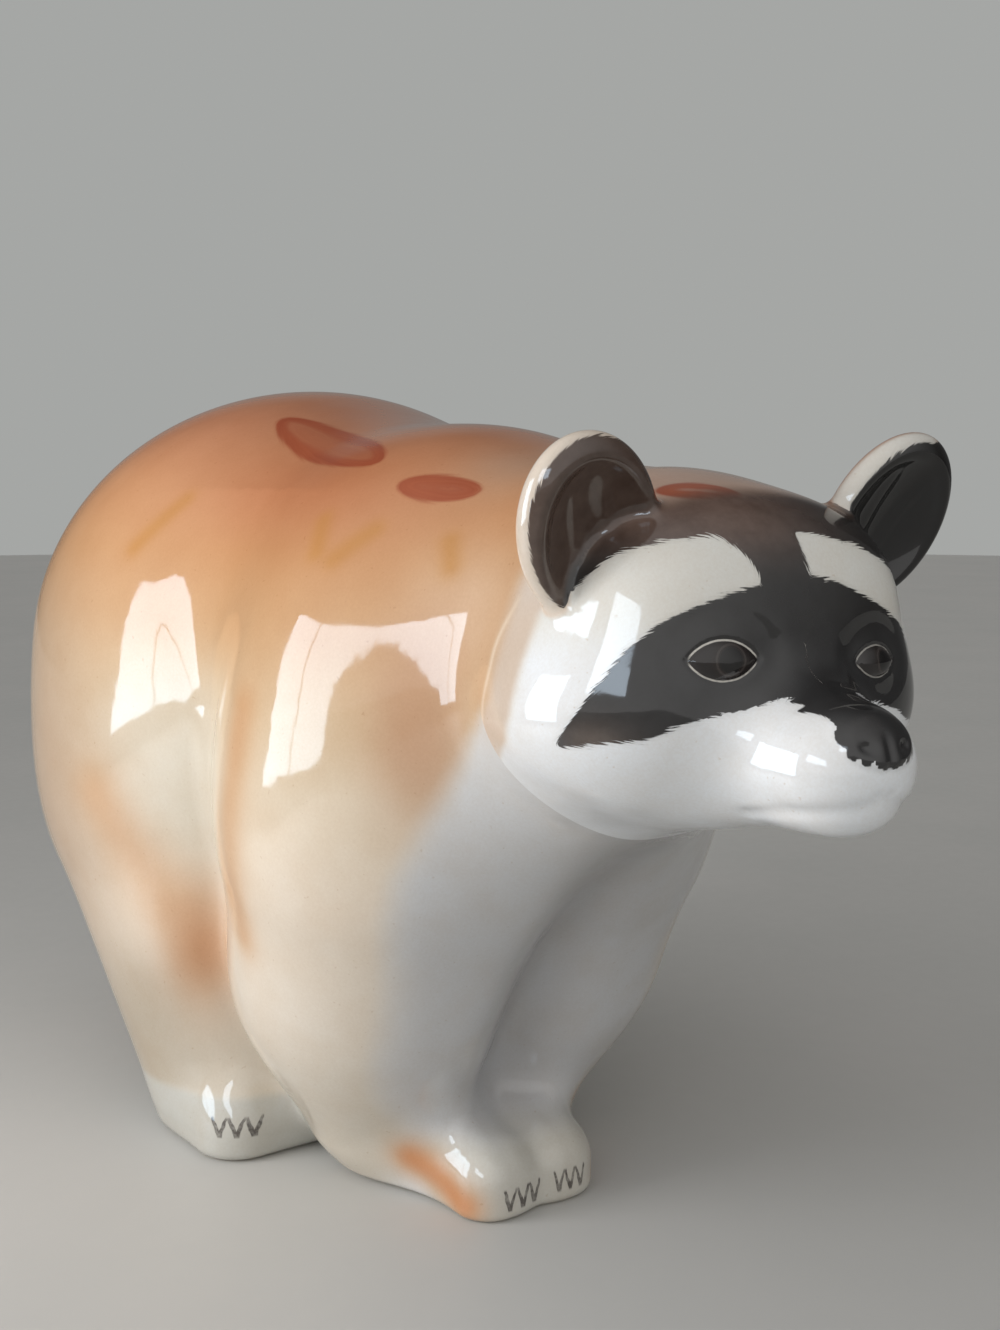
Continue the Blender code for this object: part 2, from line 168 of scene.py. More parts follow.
def skull_q(q):
    """The head without ears, in its own axes: x to its left, y to its rear, z up."""
    m = mirrored(q)
    d = squarish(m, (0, 0, 0), SKULL, SKULL_N)
    d = smin(d, ellipsoid(m, (8.8, 1.8, -5.2), (13.0, 13.0, 9.0)), 5)
    d = smin(d, round_cone(m / np.array((MUZZLE_BREADTH, 1, 1)), MUZZLE_ROOT, MUZZLE_TIP, MUZZLE_ROOT_R, MUZZLE_TIP_R), 4.0)
    return smin(d, ellipsoid(q, (0, -14.2, -11.1), (5.8, 8.6, 3.2), turn("x", 6)), 0.9)


def figure(p):
    return smin(trunk(p), skull_q(in_head(p)), 5)


EARS = {-1: (-16.6, -3.4, 11.4), 1: (17.6, -3.6, 12.4)}
EAR_AXES = {s: turn("x", 18) @ turn("y", s * 22) for s in (-1, 1)}


def in_ear(p, side):
    return (in_head(p) - np.array(EARS[side])) @ EAR_AXES[side]


def ear_parts(p, side):
    """The ear's outer shell and the cup hollowed from its front."""
    e = in_ear(p, side)
    shell = ellipsoid(e, (0, 0, 0), (6.9, 3.3, 9.2))
    cup = ellipsoid(e, (-side * 0.35, -3.6, -0.9), (6.3, 4.0, 8.9))
    # two shallow folds run up the inside of the cup
    fold = 0.22 * np.exp(-((e[..., 0] + side * 1.9 + 0.10 * e[..., 2]) / 0.75) ** 2)
    fold = fold + 0.16 * np.exp(-((e[..., 0] - side * 1.3 - 0.06 * e[..., 2]) / 0.6) ** 2)
    fold = fold * step(6.5, 3.0, np.abs(e[..., 2] + 0.5))
    return shell, cup + fold


def ear(p, side):
    shell, cup = ear_parts(p, side)
    return smax(shell, -cup, 0.9)


TAIL = ((0.0, 71.0, 57.0), (0.5, 71.5, 43.0), (3.0, 63.5, 28.0), (8.0, 53.5, 15.5))
TAIL_R = (5.0, 7.4, 7.6, 4.6)


def tail(p):
    d = None
    for i in range(3):
        s = round_cone(p, TAIL[i], TAIL[i + 1], TAIL_R[i], TAIL_R[i + 1])
        d = s if d is None else smin(d, s, 2.5)
    return d


def figure_footed(p):
    """The figure standing on the table, the edge of each sole slightly rounded."""
    return smax(figure(p), -p[..., 2], 1.4)


def body_and_tail(p):
    return smin(figure(p), tail(p), 1.6)


# ------------------------------------------------------------------ the face: where things are painted
# Places on the face are given on a chart: the head seen from 37 degrees to its own right, level.
# The first number runs to the right on that view, the second up, in mm from the middle of the skull.
CHART_RIGHT = np.array((0.799, -0.602, 0.0))
CHART_OUT = np.array((-0.602, -0.799, 0.0))


def lay(points, side=-1):
    """Chart points laid on the skull, on its right half, or mirrored to its left half with side 1. In head axes."""
    q = np.array([s * CHART_RIGHT + np.array((0, 0, t)) for s, t in points]) + 40 * CHART_OUT
    for _ in range(70):
        q = q - CHART_OUT * (skull_q(q) * 0.8)[:, None]
    if side > 0:
        q[:, 0] *= -1
    return q


def smooth_line(points, per=6):
    """A Catmull-Rom curve through the points."""
    p = np.asarray(points, float)
    p = np.vstack([2 * p[0] - p[1], p, 2 * p[-1] - p[-2]])
    out = []
    for i in range(1, len(p) - 2):
        for t in np.linspace(0, 1, per, endpoint=False):
            out.append(0.5 * ((2 * p[i]) + (p[i + 1] - p[i - 1]) * t
                              + (2 * p[i - 1] - 5 * p[i] + 4 * p[i + 1] - p[i + 2]) * t * t
                              + (3 * p[i] - p[i - 1] - 3 * p[i + 1] + p[i + 2]) * t ** 3))
    out.append(p[-2])
    return np.array(out)


def inside(points, outline):
    """Which of the 2-D points lie inside the closed outline."""
    x, y = points[:, 0], points[:, 1]
    hit = np.zeros(len(points), bool)
    n = len(outline)
    for i in range(n):
        x0, y0 = outline[i]
        x1, y1 = outline[(i + 1) % n]
        if y0 == y1:
            continue
        c = (y0 > y) != (y1 > y)
        hit ^= c & (x < (x1 - x0) * (y - y0) / (y1 - y0) + x0)
    return hit


def near_lines(p, lines):
    """Distance from each point to the nearest of the 3-D lines, the length along it, and the number of that line."""
    best = np.full(len(p), 1e9)
    along = np.zeros(len(p))
    which = np.zeros(len(p), int)
    for number, line in enumerate(lines):
        run = 0.0
        for a, b in zip(line[:-1], line[1:]):
            ab = b - a
            l2 = float(ab @ ab)
            if l2 < 1e-12:
                continue
            t = np.clip(((p - a) @ ab) / l2, 0, 1)
            d = p - a - t[:, None] * ab
            d = np.sqrt((d * d).sum(1))
            better = d < best
            best[better] = d[better]
            along[better] = run + t[better] * math.sqrt(l2)
            which[better] = number
            run += math.sqrt(l2)
    return best, along, which


# the white brow's upper edge, from beside the ear to its inner end
BROW_TOP = {
    -1: [(-13.9, 4.4), (-13.2, 5.2), (-12.4, 6.1), (-11.3, 7.2), (-9.7, 8.7), (-8.1, 9.6), (-4.8, 10.5), (-2.4, 10.9), (-0.5, 11.0),
         (1.2, 10.4), (2.6, 9.3), (3.6, 7.9), (3.9, 6.9)],
    1: [(-13.9, 3.6), (-12.6, 4.6), (-10.4, 5.9), (-7.0, 7.4), (-3.3, 9.0), (0.0, 10.3), (2.9, 11.1), (4.8, 11.4), (5.6, 11.1),
        (6.0, 9.5), (6.3, 7.7)],
}
# the dark mask: its upper edge outwards, round its outer end, back along its lower edge, and down the bridge round the nose
MASK_TOP = {
    -1: [(3.9, 6.9), (2.6, 6.6), (1.1, 6.1), (-2.3, 4.8), (-5.2, 3.2), (-8.2, 0.4), (-10.4, -2.6), (-11.9, -4.7), (-13.1, -6.5)],
    1: [(6.3, 7.7), (3.9, 7.0), (0.8, 5.6), (-2.6, 4.0), (-5.2, 2.7), (-8.2, 0.2), (-10.4, -2.6), (-11.9, -4.7), (-13.1, -6.5)],
}
MASK_LOW = [(-13.1, -6.5), (-13.3, -7.3), (-12.4, -7.4), (-9.2, -6.8), (-5.4, -6.2), (-2.0, -4.8), (1.4, -4.0), (3.6, -3.4), (5.5, -2.7)]
BRIDGE_LOW = [(5.5, -2.7), (6.9, -2.5), (6.4, -2.9), (7.7, -3.0), (7.1, -3.5), (8.6, -3.5), (9.6, -3.8), (10.2, -4.3)]
NOSE_EDGE = [(10.2, -4.3), (10.0, -4.9), (10.3, -5.6), (10.9, -5.9), (11.0, -6.5), (11.6, -6.9), (12.0, -6.6), (12.3, -7.2), (12.9, -7.3),
             (13.2, -6.8), (13.6, -7.4), (14.3, -7.7), (14.9, -7.3), (15.6, -7.5)]
DARK = {}
DARK_LINES, DARK_SWING = [], []
for _side in (-1, 1):
    _top, _mask = smooth_line(BROW_TOP[_side]), smooth_line(MASK_TOP[_side])
    _low, _bridge, _nose = smooth_line(MASK_LOW), smooth_line(BRIDGE_LOW), smooth_line(NOSE_EDGE)
    DARK[_side] = (
        np.vstack([_top, [(40, _top[-1][1]), (40, 60), (-14.2, 60), (-14.2, 4.4)]]),
        np.vstack([_mask, _low[1:], _bridge[1:], _nose[1:], [(40, -7.5), (40, _mask[0][1])]]),
    )
    for _line, _swing in ((_top, 0.55), (_mask, 0.42), (_low, 0.45), (_bridge, 0.2), (_nose, 0.07)):
        DARK_LINES.append(lay(_line, _side))
        DARK_SWING.append(_swing)

EYES = {-1: (-8.4, 0.45), 1: (9.2, -0.3)}
EYE_FACING = 24.0
EYE_SIZE = {-1: 1.06, 1: 0.88}
LENS_R, LENS_SHIFT = 3.82, 2.16        # the almond is where two discs of this radius, this far up and down, overlap
MOUTH = [(3.4, -13.1), (5.2, -12.4), (6.8, -11.9), (9.1, -11.45), (11.5, -11.15), (13.4, -10.7), (14.9, -10.2)]


def eye_frame(side):
    """The eye's middle on the skull and its axes: along x to the head's left, up, and out. In head axes."""
    a = math.radians(EYE_FACING) * side
    out = np.array((math.sin(a), -math.cos(a), 0.0))
    right = np.array((math.cos(a), math.sin(a), 0.0))
    c = np.array((EYES[side][0], -30.0, EYES[side][1]))
    for _ in range(60):
        c = c - np.array((0, -1.0, 0)) * skull_q(c[None])[0] * 0.8
    return c, right, np.array((0, 0, 1.0)), out


EYE_FRAMES = {s: eye_frame(s) for s in (-1, 1)}
MOUTH_LINES = [lay(smooth_line(MOUTH, 3), s) for s in (-1, 1)]
NOSTRILS = [(-2.1, -23.3, -5.9), (2.1, -23.3, -5.9)]


def in_eye(q):
    """Place in the nearer eye: to the head's left, up, and out from the skull."""
    left = q[..., 0] > 0
    out = np.empty(q.shape)
    for s in (-1, 1):
        c, r, u, o = EYE_FRAMES[s]
        pick = left if s > 0 else ~left
        d = q[pick] - c
        out[pick] = np.stack([d @ r / EYE_SIZE[s], d @ u / EYE_SIZE[s], d @ o], -1)
    return out


def almond(x, y):
    """Negative inside the eye's almond outline."""
    return np.maximum(np.sqrt(x * x + (y - LENS_SHIFT) ** 2), np.sqrt(x * x + (y + LENS_SHIFT) ** 2)) - LENS_R


def face_relief(q):
    """How far the face stands proud of the plain skull, in mm."""
    h = np.zeros(q.shape[:-1])
    front = q[..., 1] < -2.0
    if not front.any():
        return h
    f = q[front]
    e = in_eye(f)
    flat = np.sqrt(e[:, 0] ** 2 + (1.15 * e[:, 1]) ** 2)
    close = step(5.0, 2.6, np.abs(e[:, 2]))
    r = -0.17 * np.exp(-((flat - 4.1) / 1.9) ** 2) * step(7.0, 4.6, flat)
    a = almond(e[:, 0], e[:, 1])
    t = np.clip(-a / 1.8, 0, 1)
    r = r + 0.52 * (1 - (1 - t) ** 2)
    r = r - 0.12 * np.exp(-(a / 0.28) ** 2)
    r = r * close
    low = (f[:, 2] < -8) & (f[:, 1] < -8)
    if low.any():
        d = near_lines(f[low], MOUTH_LINES)[0]
        m = np.zeros(len(f))
        m[low] = -0.24 * np.exp(-(d / 0.8) ** 2)
        r = r + m
    nose = (f[:, 1] < -19)
    if nose.any():
        g = np.zeros(len(f))
        n = f[nose]
        pad = np.sqrt((n[:, 0] / 4.0) ** 2 + ((n[:, 2] + 5.2) / 2.5) ** 2)
        v = 0.42 * step(1.15, 0.72, pad)
        v = v - 0.20 * np.exp(-(n[:, 0] / 0.5) ** 2) * step(-4.2, -6.0, n[:, 2]) * step(1.2, 0.9, pad)
        for c in NOSTRILS:
            d = n - np.array(c)
            v = v - 0.38 * np.exp(-((d[:, 0] / 0.75) ** 2 + (d[:, 2] / 0.55) ** 2))
        g[nose] = v
        r = r + g
    h[front] = r
    return h


def head_and_ears(p):
    q = in_head(p)
    d = smin(trunk(p), skull_q(q), 5) - face_relief(q)
    d = smin(d, ear(p, -1), 1.5)
    return smin(d, ear(p, 1), 1.5)


# ------------------------------------------------------------------ meshing
def sample(f, low, high, h, coarse=4):
    """Samples f on a grid of step h, block by block, and only in blocks that its surface may cross."""
    n = [int(np.ceil((high[i] - low[i]) / h / coarse)) * coarse + 1 for i in range(3)]
    axes = [low[i] + h * np.arange(n[i]) for i in range(3)]
    blocks = [(n[i] - 1) // coarse for i in range(3)]
    mid = [low[i] + h * coarse * (np.arange(blocks[i]) + 0.5) for i in range(3)]
    grid = np.stack(np.meshgrid(*mid, indexing="ij"), -1)
    coarse_values = f(grid.reshape(-1, 3)).reshape(blocks)
    reach = h * coarse * 0.5 * math.sqrt(3) * 1.9 + 0.5
    values = np.full(n, 99.0, np.float32)
    values[:-1, :-1, :-1] = np.repeat(np.repeat(np.repeat(coarse_values, coarse, 0), coarse, 1), coarse, 2)
    todo = np.argwhere(np.abs(coarse_values) < reach)
    corner = np.stack(np.meshgrid(*[np.arange(coarse + 1)] * 3, indexing="ij"), -1).reshape(-1, 3)
    for start in range(0, len(todo), 4000):
        at = (todo[start:start + 4000, None, :] * coarse + corner[None]).reshape(-1, 3)
        p = np.stack([axes[k][at[:, k]] for k in range(3)], -1)
        values[at[:, 0], at[:, 1], at[:, 2]] = f(p)
    return values, axes


def surface(values, axes):
    """One vertex in each cell that the surface crosses, and one quad for each crossed edge."""
    solid = values < 0
    n = values.shape
    cuts = (slice(None, -1), slice(1, None))
    count = np.zeros([k - 1 for k in n], np.int8)
    for a in cuts:
        for b in cuts:
            for c in cuts:
                count += solid[a, b, c]
    active = (count > 0) & (count < 8)
    cells = np.argwhere(active)
    ids = -np.ones(active.shape, np.int64)
    ids[active] = np.arange(len(cells))
    points = np.zeros((len(cells), 3))
    weight = np.zeros(len(cells))
    i, j, k = cells.T
    for a in [(a, b, c) for a in (0, 1) for b in (0, 1) for c in (0, 1)]:
        for d in range(3):
            if a[d]:
                continue
            b = list(a)
            b[d] = 1
            va = values[i + a[0], j + a[1], k + a[2]]
            vb = values[i + b[0], j + b[1], k + b[2]]
            crossed = (va < 0) != (vb < 0)
            t = np.where(crossed, va / np.where(crossed, va - vb, 1), 0)
            base = np.stack([a[m] + (t if m == d else 0 * t) for m in range(3)], -1)
            points += base * crossed[:, None]
            weight += crossed
    points /= weight[:, None]
    h = axes[0][1] - axes[0][0]
    points = np.array([axes[m][0] for m in range(3)]) + (cells + points) * h
    quads = []
    for d in range(3):
        u, v = [(1, 2), (2, 0), (0, 1)][d]
        s0, s1 = [slice(None)] * 3, [slice(None)] * 3
        s0[d], s1[d] = slice(None, -1), slice(1, None)
        first, second = solid[tuple(s0)], solid[tuple(s1)]
        edge = np.argwhere(first != second)
        edge = edge[(edge[:, u] > 0) & (edge[:, v] > 0) & (edge[:, u] < n[u] - 1) & (edge[:, v] < n[v] - 1)]
        out = first[edge[:, 0], edge[:, 1], edge[:, 2]]

        def cell(du, dv):
            c = edge.copy()
            c[:, u] += du
            c[:, v] += dv
            return ids[c[:, 0], c[:, 1], c[:, 2]]

        q = np.stack([cell(-1, -1), cell(0, -1), cell(0, 0), cell(-1, 0)], -1)
        q[~out] = q[~out][:, ::-1]
        quads.append(q)
    return points, np.concatenate(quads)


def slope(f, p, e=0.05):
    g = np.zeros(p.shape)
    for d in range(3):
        o = np.zeros(3)
        o[d] = e
        g[:, d] = (f(p + o) - f(p - o)) / (2 * e)
    return g


def settle(f, p, steps=3, cap=0.4, within=None):
    """Newton steps that put the points on f = 0, staying in the plane whose normal is given."""
    for _ in range(steps):
        v, g = f(p), slope(f, p)
        if within is not None:
            g = g - (g @ within)[:, None] * within
        move = -(v / np.maximum((g * g).sum(1), 0.05))[:, None] * g
        length = np.linalg.norm(move, axis=1, keepdims=True)
        p = p + move * np.minimum(1, cap / np.maximum(length, 1e-9))
    return p


def skin(f, low, high, h):
    """The surface of f as points and triangles."""
    points, quads = surface(*sample(f, low, high, h))
    points = settle(f, points)
    a = np.linalg.norm(points[quads[:, 0]] - points[quads[:, 2]], axis=1)
    b = np.linalg.norm(points[quads[:, 1]] - points[quads[:, 3]], axis=1)
    short = (a <= b)[:, None]
    first = np.where(short, quads[:, [0, 1, 2]], quads[:, [0, 1, 3]])
    second = np.where(short, quads[:, [0, 2, 3]], quads[:, [1, 2, 3]])
    return points, np.concatenate([first, second])


class Shell:
    """Points, triangles, and for each triangle the number of the flat cap it belongs to, 0 on the modelled surface."""

    def __init__(self, points, triangles, caps=None, normals=None):
        self.points, self.triangles = points, triangles
        self.caps = np.zeros(len(triangles), int) if caps is None else caps
        self.normals = [] if normals is None else normals      # one per cap

    def cut(self, s, f=None, flat=None):
        """Keeps the part where s, one number per point, is below 0, and closes the hole.

        flat is the cut's plane normal, pointing off the kept part; without it the hole is closed by a fan to a point drawn inwards.
        """
        s = np.where(np.abs(s) < 1e-4, 1e-4, s)
        p, t = self.points, self.triangles
        kept = s < 0
        n = kept[t].sum(1)
        whole, part = n == 3, (n == 1) | (n == 2)
        c = t[part]
        k = kept[c]
        odd = np.where(k.sum(1) == 1, k.argmax(1), (~k).argmax(1))
        c = np.take_along_axis(c, (odd[:, None] + np.arange(3)) % 3, 1)
        a, b, d = c.T
        edges = np.sort(np.concatenate([np.stack([a, b], 1), np.stack([a, d], 1)]), axis=1)
        key, back = np.unique(edges, axis=0, return_inverse=True)
        back = back.reshape(-1)
        w = (s[key[:, 0]] / (s[key[:, 0]] - s[key[:, 1]]))[:, None]
        fresh = p[key[:, 0]] * (1 - w) + p[key[:, 1]] * w
        ab, ad = len(p) + back[:len(a)], len(p) + back[len(a):]
        one = kept[a]
        caps = self.caps[part]
        tris = [t[whole], np.stack([a, ab, ad], 1)[one], np.stack([ab, b, d], 1)[~one], np.stack([ab, d, ad], 1)[~one]]
        marks = [self.caps[whole], caps[one], caps[~one], caps[~one]]
        # rim edges, in the direction that a face closing the hole takes
        rim = np.concatenate([np.stack([ad, ab], 1)[one], np.stack([ab, ad], 1)[~one]])
        if f is not None and len(fresh):
            value = np.abs(f(fresh))
            free = value < 0.08
            fresh[free] = settle(f, fresh[free], 2, 0.1, flat)
        if len(fresh):
            # points that nearly coincide become one
            _, first, weld = np.unique(np.round(fresh / 0.02).astype(int), axis=0, return_index=True, return_inverse=True)
            join = np.concatenate([np.arange(len(p)), len(p) + first[weld.reshape(-1)]])
            tris = [join[x] for x in tris]
            rim = join[rim]
        points = np.vstack([p, fresh])
        number = len(self.normals) + 1
        loops = chain(rim)
        extra = []
        if flat is not None:
            u = np.cross(flat, (0.0, 0.3, 1.0) if abs(flat[2]) < 0.8 else (1.0, 0.0, 0.0))
            u /= np.linalg.norm(u)
            v = np.cross(flat, u)
            flats = [np.stack([points[loop] @ u, points[loop] @ v], 1) for loop in loops]
            made = np.array(fill(loops, flats), int).reshape(-1, 3)
            if len(made):
                g = np.cross(points[made[:, 1]] - points[made[:, 0]], points[made[:, 2]] - points[made[:, 0]])
                wrong = g @ flat < 0
                made[wrong] = made[wrong][:, ::-1]
                tris.append(made)
                marks.append(np.full(len(made), number))
            normal = np.asarray(flat, float)
        else:
            for loop in loops:
                ring = points[loop]
                middle = ring.mean(0)
                if f is not None:
                    g = slope(f, middle[None])[0]
                    middle = middle - 0.2 * g / max(np.linalg.norm(g), 1e-6)
                extra.append(middle)
                tip = len(points) + len(extra) - 1
                ids = np.array(loop)
                made = np.stack([ids, np.roll(ids, -1), np.full(len(ids), tip)], 1)
                tris.append(made)
                marks.append(np.full(len(made), number))
            normal = None
        if extra:
            points = np.vstack([points, np.array(extra)])
        return Shell(points, np.concatenate(tris), np.concatenate(marks), self.normals + [normal]).tidy()

    def tidy(self):
        """Drops unused points and collapsed triangles."""
        t = self.triangles
        good = (t[:, 0] != t[:, 1]) & (t[:, 1] != t[:, 2]) & (t[:, 2] != t[:, 0])
        t, caps = t[good], self.caps[good]
        used = np.zeros(len(self.points), bool)
        used[t] = True
        new = np.cumsum(used) - 1
        return Shell(self.points[used], new[t], caps, self.normals)


def chain(rim):
    """Directed edges joined into closed loops, split wherever a loop meets itself."""
    follow = {}
    for a, b in rim.tolist():
        if a != b:
            follow.setdefault(a, []).append(b)
    loops = []
    while follow:
        at = next(iter(follow))
        path, where = [], {}
        while True:
            if at in where:
                loop = path[where[at]:]
                if len(loop) > 2:
                    loops.append(loop)
                for k in loop:
                    where.pop(k, None)
                path = path[:len(path) - len(loop)]
                if at not in follow:
                    break
            if at not in follow:
                break
            where[at] = len(path)
            path.append(at)
            nxt = follow[at].pop()
            if not follow[at]:
                del follow[at]
            at = nxt
    return loops


def area(flat):
    x, y = flat[:, 0], flat[:, 1]
    return 0.5 * float((x * np.roll(y, -1) - y * np.roll(x, -1)).sum())


def fill(loops, flats):
    """Triangles that fill the flat loops; a loop inside another one is a hole in it."""
    areas = [area(f) for f in flats]
    outer = [i for i in range(len(loops)) if not any(j != i and abs(areas[j]) > abs(areas[i]) and inside(flats[i][:1], flats[j])[0]
                                                     for j in range(len(loops)))]
    made = []
    for i in outer:
        holes = [j for j in range(len(loops)) if j not in outer and inside(flats[j][:1], flats[i])[0]]
        group = [i] + holes
        order = [k for g in group for k in loops[g]]
        lines = [[Vector((float(x), float(y), 0.0)) for x, y in flats[g]] for g in group]
        made += [[order[k] for k in tri] for tri in tessellate_polygon(lines)]
    return made


# ------------------------------------------------------------------ seams between the castings
LEG_TOP = 24.0
SPLIT_FOOT = np.array([0.0, 9.3, 0.0])
SPLIT_NORMAL = np.array([0.0, math.cos(math.radians(14.5)), -math.sin(math.radians(14.5))])
NECK_POINT = np.array([0.0, -36.5, 67.0])
NECK_NORMAL = np.array([0.0, -math.cos(math.radians(12.5)), math.sin(math.radians(12.5))])
UP = np.array([0.0, 0.0, 1.0])
LEFT = np.array([1.0, 0.0, 0.0])


def off_neck(p):
    return (p - NECK_POINT) @ NECK_NORMAL


# ------------------------------------------------------------------ painting: airbrushed colours, in sRGB 0-255
def blend(c, colour, w):
    return c + (np.asarray(colour, float) - c) * np.clip(w, 0, 1)[:, None]


def puff(p, centre, radii, power=1.0, both=True):
    """An airbrush puff: 1 in the middle, falling off softly; on both flanks unless told otherwise."""
    m = mirrored(p) if both else p
    c = np.array(centre, float)
    if both:
        c[0] = abs(c[0])
    r = (((m - c) / np.asarray(radii, float)) ** 2).sum(-1)
    return np.exp(-r ** power)


def swipe(p, a, b, radius, both=True):
    """A soft airbrushed line from a to b."""
    m = mirrored(p) if both else p
    a, b = np.array(a, float), np.array(b, float)
    if both:
        a[0], b[0] = abs(a[0]), abs(b[0])
    ab = b - a
    t = np.clip(((m - a) @ ab) / (ab @ ab), 0, 1)
    d = m - a - t[:, None] * ab
    return np.exp(-((d * d).sum(1) / radius ** 2))


COAT_Z = [0, 10, 25, 40, 52, 60, 68, 76, 84, 92]
COAT = np.array([(204, 196, 182), (210, 202, 188), (220, 210, 196), (226, 213, 196), (220, 205, 183), (211, 187, 156), (203, 164, 124),
                 (202, 153, 108), (207, 152, 110), (200, 136, 100)], float)


def coat(p):
    """The airbrushed colour of the coat all over the figure, with painted shade on the chest and paws, before the
    head's own painting.
    """
    x, y, z = np.abs(p[:, 0]), p[:, 1], p[:, 2]
    c = np.stack([np.interp(z, COAT_Z, COAT[:, k]) for k in range(3)], 1)
    c = blend(c, (186, 112, 74), 0.62 * puff(p, (19, -2, 84), (12, 20, 8)))            # redder shoulders of the back
    c = blend(c, (216, 186, 158), 0.80 * puff(p, (21, -34, 73), (6, 8, 9), 1.3))       # pale neck side
    c = blend(c, (196, 176, 160), 0.60 * puff(p, (8, -25, 88), (7, 6, 6)))             # pale behind the ears
    c = blend(c, (164, 152, 134), 0.80 * puff(p, (33, 24, 14), (9, 14, 12), 1.3))      # darker shank
    c = blend(c, (170, 112, 84), 0.55 * puff(p, (0, 4, 92), (12, 60, 7)))              # brown down the middle
    c = blend(c, (214, 206, 190), 0.95 * puff(p, (32, 10, 49), (12, 13, 13), 1.6))     # bare cream patch on the flank
    c = blend(c, (172, 150, 128), 0.88 * puff(p, (39, 36, 44), (8.5, 17, 32), 1.3))      # greyish tan along the thigh's back edge
    c = blend(c, (196, 150, 108), 0.60 * swipe(p, (36, 23, 46), (29, 17.5, 33), 4.2))   # diagonal band over the thigh
    c = blend(c, (196, 142, 100), 0.85 * puff(p, (26.5, 15, 27.5), (5, 4.5, 7.5)))
    c = blend(c, (202, 156, 114), 0.75 * swipe(p, (31.5, -7.6, 60), (30, -3.0, 34), 3.0))  # crease between thigh and foreleg
    c = blend(c, (190, 149, 118), 0.80 * puff(p, (22, -28.5, 60), (6, 6, 11), 1.3))    # brown behind the cheek
    edge = np.interp(z, [5, 14.5, 23.4, 33.8, 43.5, 50.3, 59.2, 64], [-9, -12.7, -16.5, -20.6, -24.2, -27.9, -34.0, -39.5])
    w = step(edge + 1.9, edge - 1.9, y) * step(81, 73, z)
    w = np.maximum(w, step(15, 10, x) * step(6, 0, y) * step(60, 50, z))
    c = blend(c, (219, 220, 221), w)                                                   # white chest and front of the forelegs, greyer than the face as painted shade under the head
    # painted shade: the chest's white greyer further down
    c = blend(c, (197, 198, 200), 0.80 * w * step(60, 34, z) * step(6, 14, z) * (y < 0))
    c = blend(c, (164, 164, 166), 0.70 * w * np.exp(-(x / 6.5) ** 2) * step(66, 50, z) * step(6, 12, z) * (y < 0))   # painted shade: grey in the groove between the forelegs
    c = blend(c, (214, 208, 194), 0.8 * step(9, 7, z) * step(24, 14, y) * (y > 4))
    c = blend(c, (190, 189, 182), step(8.6, 7.2, z) * step(2.0, 4.0, y))               # white hind paws, greyed with painted shade
    # white fore paws, greyed with painted shade
    c = blend(c, (202, 200, 192), step(10.0, 7.0, z) * step(-9.0, -12.5, y))           # fore paws
    c = blend(c, (200, 138, 92), 0.95 * swipe(p, (11.9, -9.8, 5.6), (9.6, -17.2, 2.0), 2.5))
    for a, b in (((26.6, 17, 82), (31.8, 20.5, 76)), ((23, -10.5, 80), (24.8, -12.5, 76.6)), ((21, -18, 79), (24.5, -15.5, 76)),
                 ((17.6, -27, 78), (18.5, -28.8, 75.5))):
        c = blend(c, (190, 132, 62), 0.55 * swipe(p, a, b, 1.3))                       # faint ochre strokes
    return c


TAIL_LINE = smooth_line(TAIL, 8)
TAIL_LINE = np.vstack([TAIL_LINE[0] + (TAIL_LINE[0] - TAIL_LINE[1]) * 3, TAIL_LINE, TAIL_LINE[-1] + (TAIL_LINE[-1] - TAIL_LINE[-2]) * 3])


def tail_colour(p, c):
    """The tail's tan over the coat, and the length along the tail, from which the material brushes brown rings and a
    dark tip.
    """
    _, along, _ = near_lines(p, [TAIL_LINE])
    c = blend(c, (196, 158, 120), np.full(len(p), 0.9))
    return c, along


RUST_SPOTS = [
    # middle, half length vector, half width vector, how bare the middle is
    ((-13.9, 4.8, 88.9), (-1.6, -14.6, -3.0), (3.2, 0.6, 1.7), 0.5),
    ((-14.6, -20.4, 83.2), (2.1, -4.8, -0.4), (1.5, 1.2, 1.1), 0.1),
    ((-5.8, -50.3, 82.9), (3.0, -2.6, -0.3), (1.7, 1.3, 0.8), 0.6),
    ((12.4, 14.0, 90.6), (1.4, -12.0, -1.4), (-3.2, 0.4, 1.3), 0.7),
    ((15.2, -14.2, 84.2), (-1.2, -5.4, -1.0), (-1.7, 0.6, 1.2), 0.15),
    ((1.5, 38.0, 96.0), (0.8, 6.8, -0.4), (2.8, 0.0, 0.0), 0.5),
]


def rust(p):
    """Signed distance to the nearest rust spot's edge, the angle round it times its size, and how bare its middle is."""
    best = np.full(len(p), 30.0)
    along = np.zeros(len(p))
    bare = np.zeros(len(p))
    for centre, a, b, hollow in RUST_SPOTS:
        a, b = np.array(a, float), np.array(b, float)
        la, lb = np.linalg.norm(a), np.linalg.norm(b)
        a, b = a / la, b / lb
        b = b - (a @ b) * a
        b /= np.linalg.norm(b)
        d = p - np.array(centre, float)
        x, y, z = d @ a, d @ b, d @ np.cross(a, b)
        k = np.sqrt((x / la) ** 2 + (y / lb) ** 2) + 1e-6
        g = np.sqrt((x / la ** 2) ** 2 + (y / lb ** 2) ** 2) / k + 1e-6
        v = (k - 1) / g + 3 * step(6, 12, np.abs(z)) * 10
        v = np.minimum(v, 30)
        better = v < best
        best[better] = v[better]
        along[better] = x[better]
        bare[better] = hollow
    return best, along, bare


